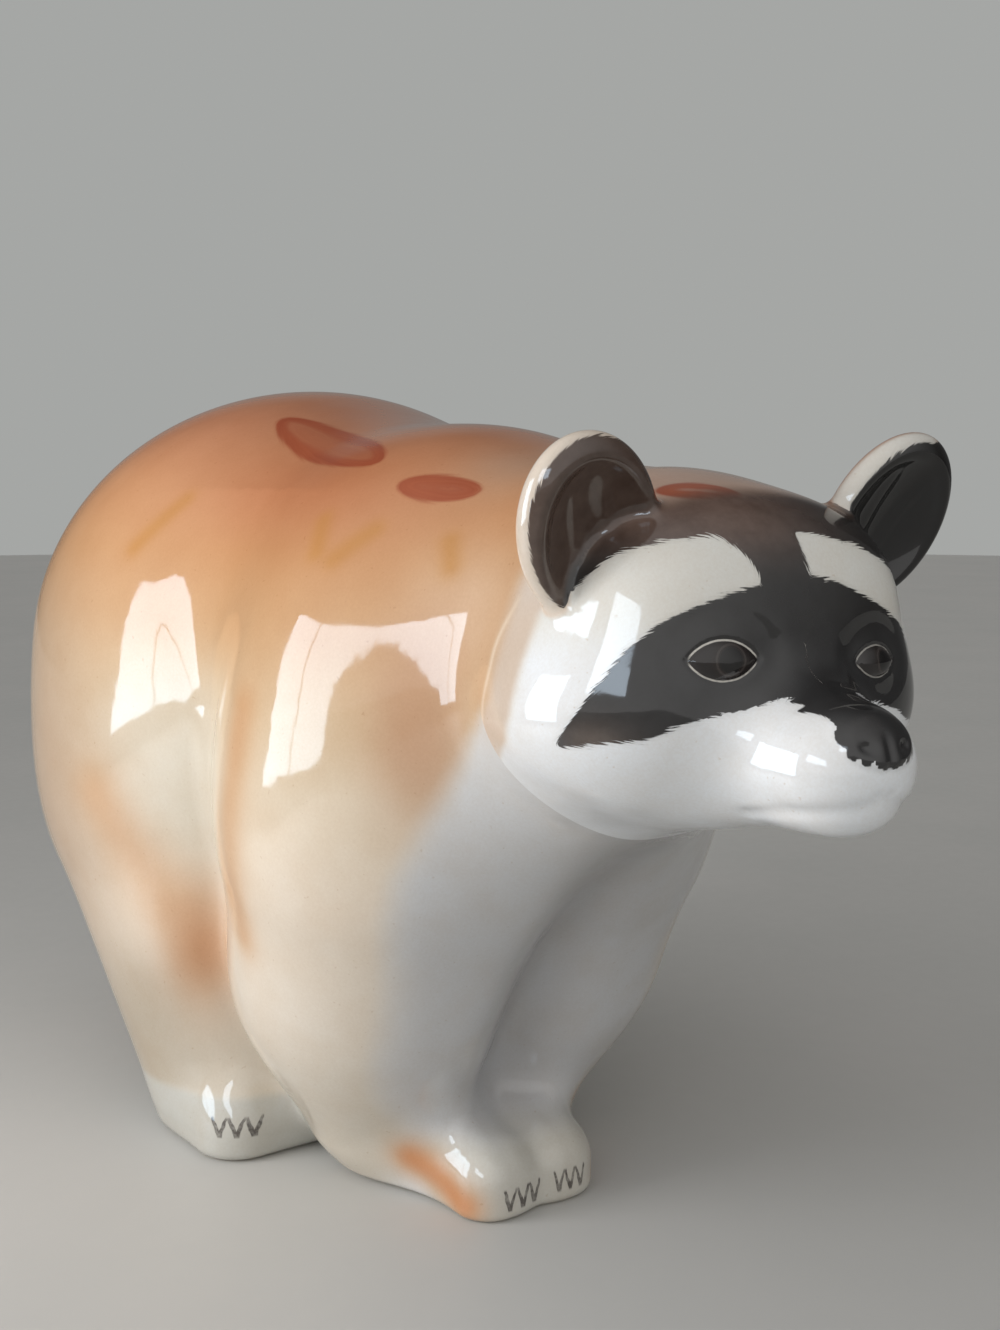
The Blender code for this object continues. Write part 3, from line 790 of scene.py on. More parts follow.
def head_colour(p, c):
    """The head's own airbrushing over the coat: pale brown crown, white face, and a pale line behind the cheek that is
    a painted highlight; a brighter white below the brow is painted light.
    """
    q = in_head(p)
    y, z = q[:, 1], q[:, 2]
    rear = np.interp(z, [-16, -12.8, -10.6, -7.9, -5.3, -2.9, 3.7, 6.2, 9, 12, 14], [16, 9, 6.7, 2.2, 0.5, 0.2, 0.6, -1.4, -3.6, -6.5, -9])
    w = step(rear + 1.1, rear - 1.0, y) * step(15.5, 13.5, z)
    c = blend(c, (193, 166, 151), 0.90 * step(7, 12, z) * step(1.0, 13.0, off_neck(p)))   # pale brown crown
    c = blend(c, (212, 176, 142), 0.45 * step(12, 3, z) * step(-3, 1, y) * step(12, 6, y))
    # painted highlight: a thin pale line along the cheek's rear edge, where it meets the neck
    line = smooth_line([(-19.2, 4.6, 5.0), (-20.3, 6.0, 0.9), (-21.3, 6.0, -2.7), (-21.2, 7.2, -6.7), (-20.1, 8.9, -9.4)], 5)
    other = line * np.array((-1, 1, 1))
    d = near_lines(q, [line, other])[0]
    c = blend(c, (240, 226, 206), 0.7 * np.exp(-(d / 0.32) ** 2))
    c = blend(c, (232, 232, 227), w)
    c = blend(c, (239, 243, 247), w * step(5.0, -1.0, z))                              # painted light: a brighter, cooler white below the brow, on the muzzle and lower face
    return c


def ear_paint(p, c):
    """Colours on the ears, and the signed distance into their dark insides with the place along the rim."""
    out = figure(p)
    dark, along = np.full(len(p), 20.0), np.zeros(len(p))
    for side in (-1, 1):
        e = in_ear(p, side)
        shell, cup = ear_parts(p, side)
        on = step(0.15, 0.7, out) * (smax(shell, -cup, 0.9) < 1.5)
        m = cup + shell
        angle = np.arctan2(e[:, 0], e[:, 2])       # 0 at the tip, positive to the head's left
        deg = np.degrees(angle)
        if side < 0:
            pale = step(50, 22, deg)
            colour, back = (227, 216, 203), (214, 168, 134)
            lip = np.interp(deg, [-160, -110, -60, -15, 20, 60], [0.0, -1.0, -1.6, -1.8, -1.9, -1.2])
        else:
            pale = step(16, -6, deg) * step(-7.5, -5.0, e[:, 2])
            colour, back = (216, 214, 208), (158, 100, 72)
            lip = np.interp(deg, [-100, -50, -8, 20], [-0.5, -0.7, -1.4, -1.9])
        band = (step(4.4, 3.0, m) if side < 0 else step(2.9, 2.1, m)) * pale
        c = blend(c, back, on)
        if side < 0:
            c = blend(c, (224, 212, 198), on * step(3.2, 0.6, e[:, 1]) * step(-20, -60, deg))   # cream on its outer side
        c = blend(c, colour, on * band)
        c = blend(c, (70, 52, 44), on * (1 - pale) * step(2.4, 0.6, m))
        front = step(1.2, 0.2, e[:, 1])
        d = m + lip + 6 * (1 - front)
        d = d - 1.6 * (1 - pale) * front
        d = d + 5 * (1 - step(0.0, 0.55, out)) + np.where(smax(shell, -cup, 0.9) < 1.5, 0, 20)
        better = d < dark
        dark[better] = d[better]
        along[better] = angle[better] * 7.0
    return c, dark, along


def face_paint(p):
    """Signed distance to the edge of the dark paint, the length along that edge, how ragged it is, and the paint's strength."""
    q = in_head(p)
    st = np.stack([-0.799 * np.abs(q[:, 0]) - 0.602 * q[:, 1], q[:, 2]], 1)
    d, along, which = near_lines(q, DARK_LINES)
    swing = np.array(DARK_SWING)[which]
    left = q[:, 0] > 0
    hit = np.zeros(len(p), bool)
    for side in (-1, 1):
        pick = left if side > 0 else ~left
        a = np.zeros(len(p), bool)
        for outline in DARK[side]:
            a[pick] |= inside(st[pick], outline)
        hit |= a
    depth = 0.602 * np.abs(q[:, 0]) - 0.799 * q[:, 1]
    front = (depth > 0.5) | (q[:, 2] > 9)
    hit &= front
    d = np.where(hit, -d, d)
    d = np.where(front, d, np.maximum(d, 0) + 3)
    out = figure(p)
    ear_w = step(0.3, 0.8, out) * (q[:, 2] > 4)            # the ears are painted by themselves
    d = np.maximum(d, -8) * (1 - ear_w) + 8 * ear_w
    bare = step(-6.6, -2.6, q[:, 1]) * step(9.5, 11.5, q[:, 2]) * step(14.5, 8.5, np.abs(q[:, 0]))
    bare = np.maximum(bare, step(-4.0, 0.5, q[:, 1]) * step(7.5, 10.5, q[:, 2]))        # none behind the ears
    strength = 1 - bare
    return d, along, swing, strength


def srgb_to_linear(c):
    c = np.clip(np.asarray(c, float) / 255.0, 0, 1)
    return np.where(c <= 0.04045, c / 12.92, ((c + 0.055) / 1.055) ** 2.4)


def rgb(*c):
    """A linear colour for a shader socket."""
    return tuple(float(v) for v in srgb_to_linear(c)) + (1.0,)


CLAW_MARKS = 3
CLAWS = [
    # middle of the row of claw marks, its direction, width of one mark, bottom and top height
    ((-3.5, -20.4), (1.0, 0.06), 1.85, 1.5, 3.9),
    ((3.2, -20.4), (1.0, -0.05), 1.50, 1.8, 4.2),
    ((-24.3, 11.3), (0.83, -0.55), 2.15, 3.6, 5.8),
    ((24.3, 11.3), (0.83, 0.55), 2.15, 3.6, 5.8),
]


def claw_places(p):
    """Where each point lies in the row of claw marks nearest to it: across in marks, and up from 0 to 1."""
    across, up = np.full(len(p), 9.0), np.full(len(p), 9.0)
    for (mx, my), (dx, dy), width, low, high in CLAWS:
        n = math.hypot(dx, dy)
        x, y = p[:, 0] - mx, p[:, 1] - my
        a = (x * dx + y * dy) / n
        depth = (-x * dy + y * dx) / n
        near = (np.abs(a) < width * 2.2) & (np.abs(depth) < 6)
        across[near] = a[near] / width
        up[near] = (p[near, 2] - low) / (high - low)
        up[near & (np.abs(a) > width * 1.75)] = 9.0
    return across, up


# ------------------------------------------------------------------ materials
class Shader:
    """A small helper to write node trees as expressions."""

    def __init__(self, name):
        self.material = bpy.data.materials.new(name)
        self.material.use_nodes = True
        self.tree = self.material.node_tree
        self.tree.nodes.clear()
        self.column = 0

    def node(self, kind, **settings):
        n = self.tree.nodes.new(kind)
        n.location = (self.column % 12 * 190, -(self.column // 12) * 260)
        self.column += 1
        for k, v in settings.items():
            setattr(n, k, v)
        return n

    def put(self, socket, value):
        if isinstance(value, bpy.types.NodeSocket):
            self.tree.links.new(value, socket)
        elif value is not None:
            socket.default_value = value

    def math(self, op, a, b=None, c=None):
        n = self.node("ShaderNodeMath", operation=op)
        for i, v in enumerate((a, b, c)):
            if v is not None:
                self.put(n.inputs[i], v)
        return n.outputs[0]

    def smooth(self, low, high, x):
        """0 at low, 1 at high; low may be above high."""
        n = self.node("ShaderNodeMapRange", interpolation_type="SMOOTHSTEP")
        turned = low > high
        self.put(n.inputs["Value"], x)
        self.put(n.inputs["From Min"], min(low, high))
        self.put(n.inputs["From Max"], max(low, high))
        self.put(n.inputs["To Min"], 1.0 if turned else 0.0)
        self.put(n.inputs["To Max"], 0.0 if turned else 1.0)
        return n.outputs["Result"]

    def span(self, x, low, high, to_low, to_high):
        n = self.node("ShaderNodeMapRange")
        for k, v in (("Value", x), ("From Min", low), ("From Max", high), ("To Min", to_low), ("To Max", to_high)):
            self.put(n.inputs[k], v)
        return n.outputs["Result"]

    def value(self, name):
        n = self.node("ShaderNodeAttribute", attribute_name=name)
        return n.outputs["Fac"]

    def colour(self, name):
        n = self.node("ShaderNodeAttribute", attribute_name=name)
        return n.outputs["Color"]

    def mix(self, factor, a, b, blend="MIX"):
        n = self.node("ShaderNodeMix", data_type="RGBA", blend_type=blend)
        self.put(n.inputs[0], factor)
        self.put(n.inputs[6], a)
        self.put(n.inputs[7], b)
        return n.outputs[2]

    def vector(self, x, y, z=0.0):
        n = self.node("ShaderNodeCombineXYZ")
        for i, v in enumerate((x, y, z)):
            self.put(n.inputs[i], v)
        return n.outputs[0]

    def noise(self, vector, scale, detail=2.0, roughness=0.5, dimensions="3D"):
        n = self.node("ShaderNodeTexNoise", noise_dimensions=dimensions)
        self.put(n.inputs["Vector"], vector)
        self.put(n.inputs["Scale"], scale)
        self.put(n.inputs["Detail"], detail)
        self.put(n.inputs["Roughness"], roughness)
        return n.outputs["Fac"]

    def place(self):
        """The place on the object in mm."""
        t = self.node("ShaderNodeTexCoord")
        n = self.node("ShaderNodeVectorMath", operation="SCALE")
        self.put(n.inputs[0], t.outputs["Object"])
        n.inputs["Scale"].default_value = 1000.0
        return n.outputs[0]


def porcelain(name, face=False, claws=False, rings=False, spots=False):
    """Glazed, painted porcelain. The piece's attributes say where each paint lies."""
    s = Shader(name)
    at = s.place()
    split = s.node("ShaderNodeSeparateXYZ")
    s.put(split.inputs[0], at)
    height = split.outputs[2]

    base = s.colour("airbrush")
    # airbrush spatter and slow mottling in the colour
    spatter = s.noise(at, 3.4, 2.0, 0.6)
    mottle = s.noise(at, 0.16, 3.0, 0.55)
    base = s.mix(s.span(spatter, 0.30, 0.70, 0.0, 0.16), base, s.mix(1.0, base, rgb(222, 208, 192), "MULTIPLY"))
    base = s.mix(s.span(mottle, 0.35, 0.70, 0.0, 0.30), base, s.mix(1.0, base, rgb(240, 228, 214), "MULTIPLY"))
    fleck = s.noise(at, 1.7, 1.0, 0.5)
    base = s.mix(s.math("MULTIPLY", s.smooth(0.74, 0.80, fleck), 0.35), base, s.mix(1.0, base, rgb(222, 204, 184), "MULTIPLY"))
    relief = s.math("MULTIPLY", s.noise(at, 0.19, 2.0, 0.5), 0.055)       # slow waves in the glaze
    relief = s.math("MULTIPLY_ADD", s.noise(at, 1.5, 2.0, 0.5), 0.0016, relief)
    shine = s.span(s.noise(at, 0.35, 3.0, 0.6), 0.3, 0.7, 0.045, 0.085)

    def brushed(d, u, slant, fine, swing):
        """The signed distance with its edge broken into strokes that run at a slant to it."""
        c, n = math.cos(math.radians(slant)), math.sin(math.radians(slant))
        across = s.math("MULTIPLY_ADD", u, -n, s.math("MULTIPLY", d, c))
        along = s.math("MULTIPLY_ADD", u, c, s.math("MULTIPLY", d, n))
        v = s.vector(s.math("MULTIPLY", across, fine), s.math("MULTIPLY", along, fine * 0.075), 0.0)
        hair = s.noise(v, 1.0, 2.5, 0.6, "2D")
        return s.math("MULTIPLY_ADD", s.math("SUBTRACT", hair, 0.5), swing, d), hair

    if spots:
        d, u, bare = s.value("rust_d"), s.value("rust_u"), s.value("rust_bare")
        edge, hair = brushed(d, u, 8, 1.3, 1.1)
        on = s.smooth(0.5, -0.5, edge)
        deep = s.mix(s.span(hair, 0.3, 0.7, 0.0, 0.5), rgb(156, 68, 37), rgb(176, 90, 53))
        inner = s.math("MULTIPLY", s.smooth(-1.3, -3.0, edge), bare)
        on = s.math("MULTIPLY", on, s.math("SUBTRACT", 1.0, s.math("MULTIPLY", inner, 0.75)))
        base = s.mix(s.math("MULTIPLY", on, 0.90), base, deep)

    if rings:
        t = s.value("tail_t")
        wob = s.math("MULTIPLY", s.math("SUBTRACT", s.noise(at, 0.9, 2.0, 0.6), 0.5), 1.6)
        fibre = s.math("MULTIPLY", s.math("SUBTRACT", s.noise(s.vector(s.math("MULTIPLY", split.outputs[0], 2.2),
                                                                      s.math("MULTIPLY", split.outputs[1], 2.2), s.math("MULTIPLY", t, 0.28)),
                                                                 1.0, 2.0, 0.6), 0.5), 3.0)
        r = s.math("ADD", t, s.math("ADD", wob, fibre))
        wave = s.math("PINGPONG", r, 5.2)
        ring = s.smooth(3.0, 3.7, wave)
        tip = s.smooth(50.0, 52.0, r)
        base = s.mix(s.math("MULTIPLY", s.math("MAXIMUM", ring, tip), 0.92), base, rgb(72, 52, 44))

    if face:
        d, u, swing, strength = s.value("dark_d"), s.value("dark_u"), s.value("dark_swing"), s.value("dark_strength")
        ragged = s.span(s.noise(at, 0.42, 2.0, 0.5), 0.36, 0.62, 0.25, 1.45)
        edge, hair = brushed(d, u, 17, 5.6, s.math("MULTIPLY", s.math("MULTIPLY", swing, ragged), 2.6))
        dark = s.smooth(0.10, -0.10, edge)
        # a thin, see-through first coat of paint that reaches a little further
        wash = s.smooth(0.55, -0.25, edge)
        dark = s.math("MAXIMUM", dark, s.math("MULTIPLY", wash, 0.16))
        dark = s.math("MULTIPLY", dark, strength)
        paint = s.colour("dark_colour")
        paint = s.mix(s.span(s.noise(at, 0.55, 4.0, 0.6), 0.35, 0.7, 0.0, 0.55), paint, s.mix(1.0, paint, rgb(186, 170, 160), "MULTIPLY"))
        base = s.mix(s.math("MULTIPLY", dark, 0.985), base, paint)
        relief = s.math("MULTIPLY_ADD", dark, 0.010, relief)
        close = s.math("MULTIPLY", dark, s.smooth(-1.6, -0.4, d))
        relief = s.math("MULTIPLY_ADD", s.math("MULTIPLY", hair, close), 0.004, relief)
        # the eyes: a fine pale outline, a dark brown ball, an iris line and the pupil
        x, y = s.value("eye_x"), s.value("eye_y")
        xx = s.math("MULTIPLY", x, x)
        up, down = s.math("SUBTRACT", y, LENS_SHIFT), s.math("ADD", y, LENS_SHIFT)
        a = s.math("SQRT", s.math("MULTIPLY_ADD", up, up, xx))
        b = s.math("SQRT", s.math("MULTIPLY_ADD", down, down, xx))
        lens = s.math("SUBTRACT", s.math("MAXIMUM", a, b), LENS_R)
        ball = s.smooth(-0.02, -0.14, lens)
        base = s.mix(ball, base, rgb(33, 28, 27))
        px, py = s.math("SUBTRACT", x, 0.55), s.math("SUBTRACT", y, 0.05)
        radius = s.math("SQRT", s.math("MULTIPLY_ADD", px, px, s.math("MULTIPLY", py, py)))
        iris = s.math("MULTIPLY", s.smooth(1.75, 1.65, radius), ball)
        base = s.mix(iris, base, s.mix(s.noise(at, 2.5, 2.0, 0.6), rgb(30, 24, 22), rgb(38, 30, 27)))
        ring = s.math("MULTIPLY", s.smooth(0.13, 0.05, s.math("ABSOLUTE", s.math("SUBTRACT", radius, 1.28))), ball)
        base = s.mix(s.math("MULTIPLY", ring, 0.20), base, rgb(110, 102, 98))
        base = s.mix(s.math("MULTIPLY", s.smooth(1.08, 1.0, radius), ball), base, rgb(15, 12, 12))
        wander = s.math("MULTIPLY", s.math("SUBTRACT", s.noise(at, 1.2, 1.0, 0.5), 0.5), 0.06)
        line = s.smooth(0.105, 0.05, s.math("ABSOLUTE", s.math("ADD", lens, wander)))
        line = s.math("MULTIPLY", line, s.smooth(3.1, 2.8, s.math("ABSOLUTE", x)))
        line = s.math("MULTIPLY", line, s.span(s.noise(at, 1.6, 2.0, 0.5), 0.3, 0.6, 0.65, 1.0))
        side = s.smooth(-0.5, 0.5, split.outputs[0])                     # the left eye's line is the fainter one
        line = s.math("MULTIPLY", line, s.span(side, 0.0, 1.0, 1.0, 0.55))
        base = s.mix(line, base, rgb(206, 202, 194))

    if claws:
        cx, cz = s.value("claw_x"), s.value("claw_z")
        wob = s.math("MULTIPLY", s.math("SUBTRACT", s.noise(at, 0.8, 1.0, 0.5), 0.5), 0.26)
        cx = s.math("ADD", cx, wob)
        fold = s.math("PINGPONG", s.math("ADD", cx, CLAW_MARKS / 2), 0.5)         # 0 at the tops, 0.5 at the points
        want = s.span(cz, 0.0, 1.0, 0.5, 0.06)
        stroke = s.math("ABSOLUTE", s.math("SUBTRACT", fold, want))
        thick = s.span(cz, 0.0, 1.0, 0.165, 0.090)
        on = s.smooth(0.03, -0.03, s.math("SUBTRACT", stroke, thick))
        on = s.math("MULTIPLY", on, s.smooth(-0.12, 0.02, cz))
        on = s.math("MULTIPLY", on, s.smooth(1.10, 0.94, cz))
        on = s.math("MULTIPLY", on, s.smooth(CLAW_MARKS / 2 + 0.03, CLAW_MARKS / 2 - 0.03, s.math("ABSOLUTE", cx)))
        on = s.math("MULTIPLY", on, s.span(s.noise(at, 1.3, 2.0, 0.6), 0.3, 0.6, 0.55, 1.0))
        base = s.mix(s.math("MULTIPLY", on, 0.88), base, rgb(56, 46, 42))

    # the bare, unglazed sole
    sole = s.smooth(0.55, 0.25, s.math("MULTIPLY_ADD", s.noise(at, 0.7, 2.0, 0.5), 0.3, height))
    grit = s.noise(at, 5.0, 3.0, 0.7)
    base = s.mix(sole, base, s.mix(grit, rgb(196, 184, 164), rgb(222, 213, 196)))
    shine = s.math("MULTIPLY_ADD", sole, 0.6, shine)
    relief = s.math("MULTIPLY_ADD", s.math("MULTIPLY", sole, grit), 0.05, relief)

    bump = s.node("ShaderNodeBump")
    bump.inputs["Strength"].default_value = 1.0
    bump.inputs["Distance"].default_value = MM
    s.put(bump.inputs["Height"], relief)
    glaze = s.node("ShaderNodeBsdfPrincipled")
    s.put(glaze.inputs["Base Color"], base)
    s.put(glaze.inputs["Roughness"], shine)
    s.put(glaze.inputs["Normal"], bump.outputs[0])
    glaze.inputs["IOR"].default_value = 1.62
    out = s.node("ShaderNodeOutputMaterial")
    s.tree.links.new(glaze.outputs[0], out.inputs["Surface"])
    return s.material


# ------------------------------------------------------------------ pieces
def piece(name, shell, field, node, material, paint):
    """A mesh object in the CAD's frame, with its painting stored on it."""
    p = shell.points
    mesh = bpy.data.meshes.new(name)
    mesh.from_pydata(((p - RECENTRE) * MM).tolist(), [], shell.triangles.tolist())
    mesh.update()
    g = slope(field, p, 0.03)
    g /= np.maximum(np.linalg.norm(g, axis=1, keepdims=True), 1e-9)
    loops = g[shell.triangles]
    face = np.cross(p[shell.triangles[:, 1]] - p[shell.triangles[:, 0]], p[shell.triangles[:, 2]] - p[shell.triangles[:, 0]])
    face /= np.maximum(np.linalg.norm(face, axis=1, keepdims=True), 1e-12)
    flat = shell.caps > 0
    loops[flat] = face[flat][:, None, :]
    mesh.polygons.foreach_set("use_smooth", np.ones(len(shell.triangles), bool))
    mesh.normals_split_custom_set(loops.reshape(-1, 3).tolist())
    for key, values in paint(p).items():
        values = np.asarray(values, float)
        if values.ndim == 2:
            layer = mesh.attributes.new(key, "FLOAT_COLOR", "POINT")
            rgba = np.ones((len(p), 4), np.float32)
            rgba[:, :3] = values
            layer.data.foreach_set("color", rgba.ravel())
        else:
            layer = mesh.attributes.new(key, "FLOAT", "POINT")
            layer.data.foreach_set("value", values.astype(np.float32))
    ob = bpy.data.objects.new(name, mesh)
    bpy.context.scene.collection.objects.link(ob)
    mesh.materials.append(material)
    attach(ob, "root")
    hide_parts(node)
    return ob


def paint_head(p):
    c = coat(p)
    c = head_colour(p, c)
    c, ear_d, ear_u = ear_paint(p, c)
    d, u, swing, strength = face_paint(p)
    q = in_head(p)
    out = figure(p)
    on_ear = ear_d < d
    d = np.where(on_ear, ear_d, d)
    u = np.where(on_ear, ear_u, u)
    swing = np.where(on_ear, 0.30, swing)
    strength = np.where(on_ear & (out > 0.3), 1.0, strength)
    # charcoal mask, browner towards the ears and the crown
    k = np.tile(np.array((31.0, 30.0, 31.0)), (len(p), 1))
    k = blend(k, (112, 90, 80), 0.95 * step(6, 12.5, q[:, 2]) * step(14, -6, q[:, 0]))
    # painted light and reflection: the right ear's inside a lighter brown than the left ear's near-black
    k = blend(k, (84, 68, 60), step(0.3, 1.0, out) * (q[:, 0] < 0))
    k = blend(k, (13, 12, 13), step(0.3, 1.0, out) * (q[:, 0] > 0))
    k = blend(k, (112, 98, 88), 0.75 * puff(p, (19.6, -52.6, 61.5), (4.6, 4.0, 2.4)))   # thin paint at the mask's lower corner
    e = in_eye(q)
    away = 50 * step(5, 9, np.abs(e[:, 2]))
    rust_d, rust_u, bare = rust(p)
    return {"airbrush": srgb_to_linear(c), "dark_colour": srgb_to_linear(k), "dark_d": np.clip(d, -12, 12), "dark_u": u, "dark_swing": swing,
            "dark_strength": strength, "eye_x": e[:, 0] + np.sign(e[:, 0]) * away, "eye_y": e[:, 1], "rust_d": rust_d, "rust_u": rust_u, "rust_bare": bare}


def paint_body(p):
    rust_d, rust_u, bare = rust(p)
    return {"airbrush": srgb_to_linear(coat(p)), "rust_d": rust_d, "rust_u": rust_u, "rust_bare": bare}


def paint_tail(p):
    c, along = tail_colour(p, coat(p))
    return {"airbrush": srgb_to_linear(c), "tail_t": along}


def paint_leg(p):
    across, up = claw_places(p)
    return {"airbrush": srgb_to_linear(coat(p)), "claw_x": across, "claw_z": up}


H_HEAD, H_BODY, H_LEG = ((0.28, 0.75, 0.45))

# head and ears come from one skin, then part along the skull's surface
points, triangles = skin(head_and_ears, (-32, -76, 44), (32, -26, 99), H_HEAD)
head = Shell(points, triangles)
head = head.cut(-off_neck(head.points), head_and_ears, -NECK_NORMAL)


def ear_side(p, side):
    """Positive on the ear, beyond the skull's surface."""
    return np.minimum(figure(p) - 0.5, 2.2 - ear(p, side))


ears = {}
for side in (-1, 1):
    ears[side] = head.cut(-ear_side(head.points, side), None)
    head = head.cut(ear_side(head.points, side), None)

points, triangles = skin(body_and_tail, (-42, -50, 20), (42, 84, 99), H_BODY)
body = Shell(points, triangles)
body = body.cut(off_neck(body.points), body_and_tail, NECK_NORMAL)


def tail_side(p):
    return np.minimum(figure(p) - 0.6, 2.5 - tail(p))


tail_piece = None
body = body.cut(tail_side(body.points), None)
body = body.cut(LEG_TOP - body.points[:, 2], body_and_tail, -UP)
points, triangles = skin(body_and_tail, (-12, 44, 6), (18, 84, 70), H_LEG)
tail_piece = Shell(points, triangles).cut(-tail_side(points), None)

points, triangles = skin(figure_footed, (-40.13, -32, -2.07), (40, 66, 27), H_LEG)
legs = Shell(points, triangles).cut(points[:, 2] - LEG_TOP, figure_footed, UP)
fore = legs.cut((legs.points - SPLIT_FOOT) @ SPLIT_NORMAL, figure_footed, SPLIT_NORMAL)
hind = legs.cut(-((legs.points - SPLIT_FOOT) @ SPLIT_NORMAL), figure_footed, -SPLIT_NORMAL)
leg_shells = {
    "front_right_leg": fore.cut(fore.points[:, 0], figure_footed, LEFT),
    "front_left_leg": fore.cut(-fore.points[:, 0], figure_footed, -LEFT),
    "hind_right_leg": hind.cut(hind.points[:, 0], figure_footed, LEFT),
    "hind_left_leg": hind.cut(-hind.points[:, 0], figure_footed, -LEFT),
}

piece("glazed_body", body, body_and_tail, "body_shell", porcelain("body porcelain", spots=True), paint_body)
piece("glazed_head", head, head_and_ears, "head_shell", porcelain("head porcelain", face=True, spots=True), paint_head)
piece("glazed_right_ear", ears[-1], head_and_ears, "right_ear", porcelain("right ear porcelain", face=True), paint_head)
piece("glazed_left_ear", ears[1], head_and_ears, "left_ear", porcelain("left ear porcelain", face=True), paint_head)
piece("glazed_tail", tail_piece, body_and_tail, "tail", porcelain("tail porcelain", rings=True), paint_tail)
for leg_name, leg_shell in leg_shells.items():
    piece("glazed_" + leg_name, leg_shell, figure_footed, leg_name,
          porcelain(leg_name.replace("_", " ") + " porcelain", claws=True), paint_leg)


# ------------------------------------------------------------------ floor, light, camera
def floor():
    size, rings, around = 1.6, 24, 96
    verts, faces = [(0.0, 0.0, 0.0)], []
    for i in range(1, rings + 1):
        r = size * (i / rings) ** 1.5
        verts += [(r * math.cos(2 * math.pi * k / around), r * math.sin(2 * math.pi * k / around), 0.0) for k in range(around)]
    faces += [(0, 1 + k, 1 + (k + 1) % around) for k in range(around)]
    for i in range(rings - 1):
        a, b = 1 + i * around, 1 + (i + 1) * around
        faces += [(a + k, b + k, b + (k + 1) % around, a + (k + 1) % around) for k in range(around)]
    mesh = bpy.data.meshes.new("floor")
    mesh.from_pydata(verts, [], faces)
    mesh.polygons.foreach_set("use_smooth", [True] * len(mesh.polygons))
    ob = bpy.data.objects.new("floor", mesh)
    bpy.context.scene.collection.objects.link(ob)
    s = Shader("pale floor")
    at = s.place()
    n = s.noise(at, 0.02, 3.0, 0.5)
    shade = s.node("ShaderNodeBsdfPrincipled")
    s.put(shade.inputs["Base Color"], s.mix(s.span(n, 0.3, 0.7, 0.0, 1.0), rgb(194, 194, 191), rgb(199, 198, 195)))
    s.put(shade.inputs["Roughness"], s.span(s.noise(at, 0.3, 2.0, 0.5), 0.3, 0.7, 0.42, 0.5))
    out = s.node("ShaderNodeOutputMaterial")
    s.tree.links.new(shade.outputs[0], out.inputs["Surface"])
    mesh.materials.append(s.material)


def softbox(name, place, target, width, height, radiance, colour, mirrored_only):
    """A rectangular soft light that either lights the figure or is only seen mirrored in the glaze; place, target and sizes in mm."""
    data = bpy.data.lights.new(name, "AREA")
    data.shape = "RECTANGLE"
    data.size, data.size_y = width * MM, height * MM
    data.energy = radiance * math.pi * data.size * data.size_y
    data.color = colour
    ob = bpy.data.objects.new(name, data)
    bpy.context.scene.collection.objects.link(ob)
    a, b = Vector(place) * MM, Vector(target) * MM
    a.y -= RECENTRE[1] * MM
    b.y -= RECENTRE[1] * MM
    ob.location = a
    ob.rotation_euler = (b - a).to_track_quat("-Z", "Y").to_euler()
    ob.visible_camera = False
    ob.visible_diffuse = not mirrored_only
    ob.visible_glossy = mirrored_only
    return ob


ROOM_TOWARDS, ROOM_LOW, ROOM_HIGH = (-0.72, -0.64, 0.40), 0.08, 0.94

floor()
world = bpy.data.worlds.new("studio")
world.use_nodes = True
bpy.context.scene.world = world
tree = world.node_tree
tree.nodes.clear()


def glow(place, threshold_low, threshold_high, low, high):
    """A sky whose brightness rises smoothly towards one place in it."""
    coordinates = tree.nodes.new("ShaderNodeTexCoord")
    dot = tree.nodes.new("ShaderNodeVectorMath")
    dot.operation = "DOT_PRODUCT"
    dot.inputs[1].default_value = tuple(Vector(place).normalized())
    tree.links.new(coordinates.outputs["Generated"], dot.inputs[0])
    ramp = tree.nodes.new("ShaderNodeMapRange")
    ramp.interpolation_type = "SMOOTHSTEP"
    for key, value in (("From Min", threshold_low), ("From Max", threshold_high), ("To Min", low), ("To Max", high)):
        ramp.inputs[key].default_value = value
    tree.links.new(dot.outputs["Value"], ramp.inputs["Value"])
    return ramp.outputs["Result"]


# the wall seen behind the figure is an even grey; the room's light comes softly from above and the figure's right
wall = tree.nodes.new("ShaderNodeBackground")
wall.inputs["Color"].default_value = (0.378, 0.386, 0.376, 1.0)
room = tree.nodes.new("ShaderNodeBackground")
room.inputs["Color"].default_value = (1.0, 0.992, 0.978, 1.0)
tree.links.new(glow(ROOM_TOWARDS, -0.35, 0.95, ROOM_LOW, ROOM_HIGH), room.inputs["Strength"])
ray = tree.nodes.new("ShaderNodeLightPath")
either = tree.nodes.new("ShaderNodeMixShader")
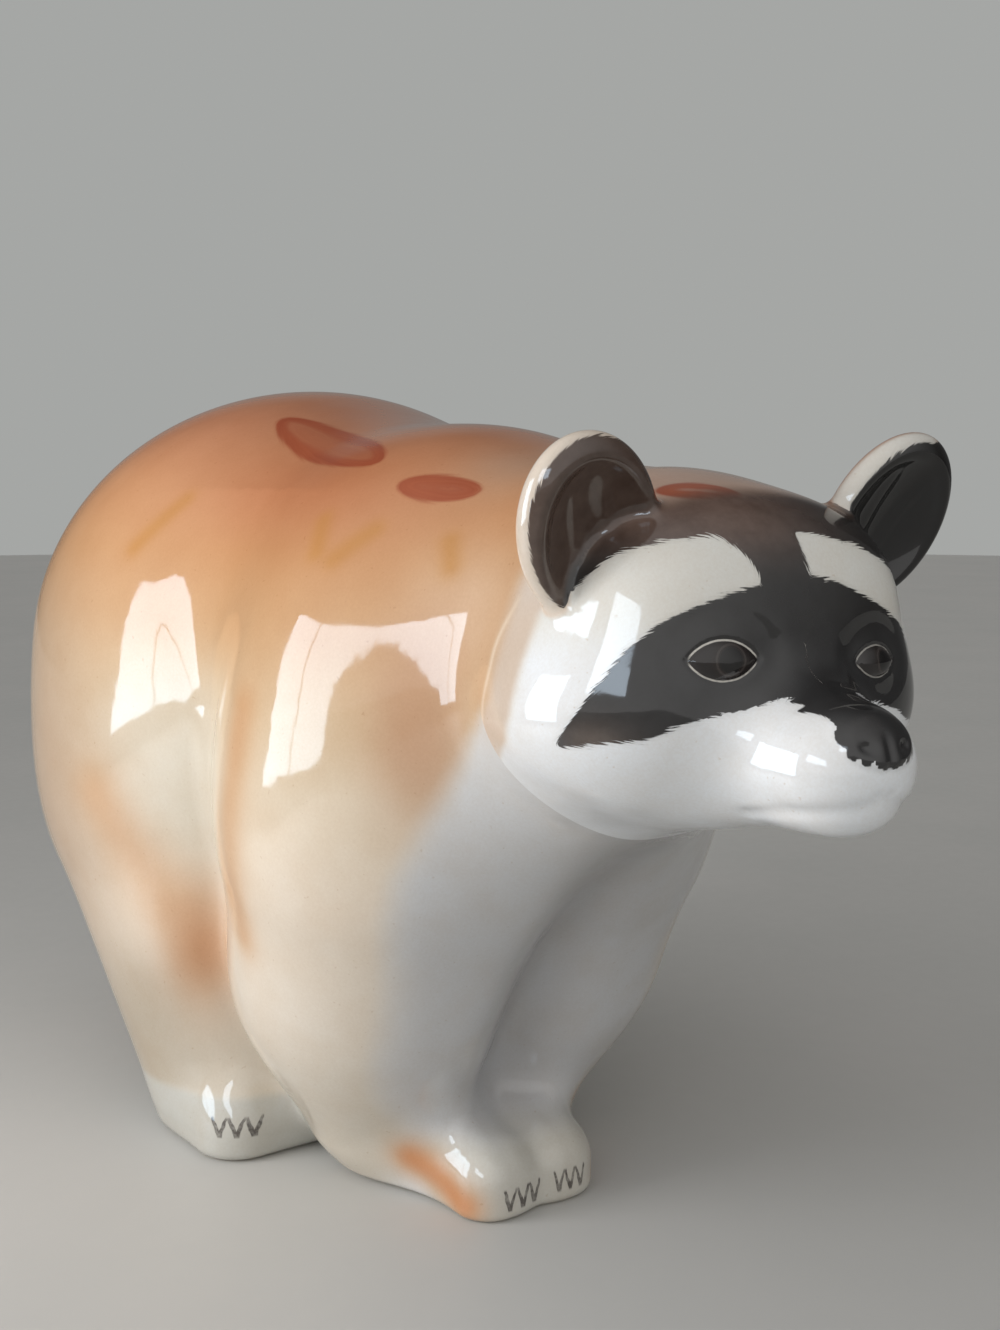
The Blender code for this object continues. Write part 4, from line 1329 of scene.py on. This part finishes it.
# the glaze mirrors the same wall behind the figure
behind = tree.nodes.new("ShaderNodeMath")
behind.operation = "MULTIPLY_ADD"
tree.links.new(glow((0.57, 0.81, 0.12), 0.86, 0.99, 0.0, 0.45), behind.inputs[0])
tree.links.new(ray.outputs["Is Glossy Ray"], behind.inputs[1])
tree.links.new(ray.outputs["Is Camera Ray"], behind.inputs[2])
tree.links.new(behind.outputs[0], either.inputs[0])
tree.links.new(room.outputs[0], either.inputs[1])
tree.links.new(wall.outputs[0], either.inputs[2])
world_out = tree.nodes.new("ShaderNodeOutputWorld")
tree.links.new(either.outputs[0], world_out.inputs["Surface"])

# a tall two-pane softbox stands to the figure's right, close by
WINDOW_AZ, WINDOW_AWAY, WINDOW_Z = 106.0, 190.0, 84.0
_a = math.radians(WINDOW_AZ)
_out = np.array((-math.sin(_a), -math.cos(_a), 0.0))
_side = np.array((-_out[1], _out[0], 0.0))
_mid = np.array((-10.0, -10.0, WINDOW_Z)) + _out * WINDOW_AWAY
for _k, _offset in (("left", -24.5), ("right", 24.5)):
    for _use, _nearer, _strength, _tint in (("light", 0.0, 6.6, (1.0, 0.985, 0.985)), ("mirrored", 3.0, 6.6, (0.66, 0.84, 1.0))):
        _place = _mid + _side * _offset - _out * _nearer
        softbox("window " + _k + " " + _use, tuple(_place), tuple(_place - _out * 100 + np.array((0, 0, -8.0))),
                47, 128, _strength, _tint, _use == "mirrored")

# a second pane further round to the front, seen only as the mirrored patch beside the right eye
_place = _mid + _side * 215 + np.array((0, 0, 70.0))
softbox("side window mirrored", tuple(_place), tuple(_place - _out * 100), 200, 62, 5.5, (0.72, 0.86, 1.0), True)

camera_data = bpy.data.cameras.new("camera")
camera_data.lens, camera_data.sensor_width = 40.6, 36.0
camera_data.clip_start, camera_data.clip_end = 0.01, 20.0
camera = bpy.data.objects.new("camera", camera_data)
bpy.context.scene.collection.objects.link(camera)
right, up, forward = Vector((0.81915, -0.57358, 0.0)), Vector((0.07020, 0.10026, 0.99248)), Vector((0.56926, 0.81299, -0.12239))
spot = Vector((-99.165, -152.257 - RECENTRE[1], 84.0)) * MM
camera.matrix_world = Matrix((
    (right.x, up.x, -forward.x, spot.x),
    (right.y, up.y, -forward.y, spot.y),
    (right.z, up.z, -forward.z, spot.z),
    (0, 0, 0, 1)))
bpy.context.scene.camera = camera
bpy.context.scene.view_settings.view_transform = "Standard"
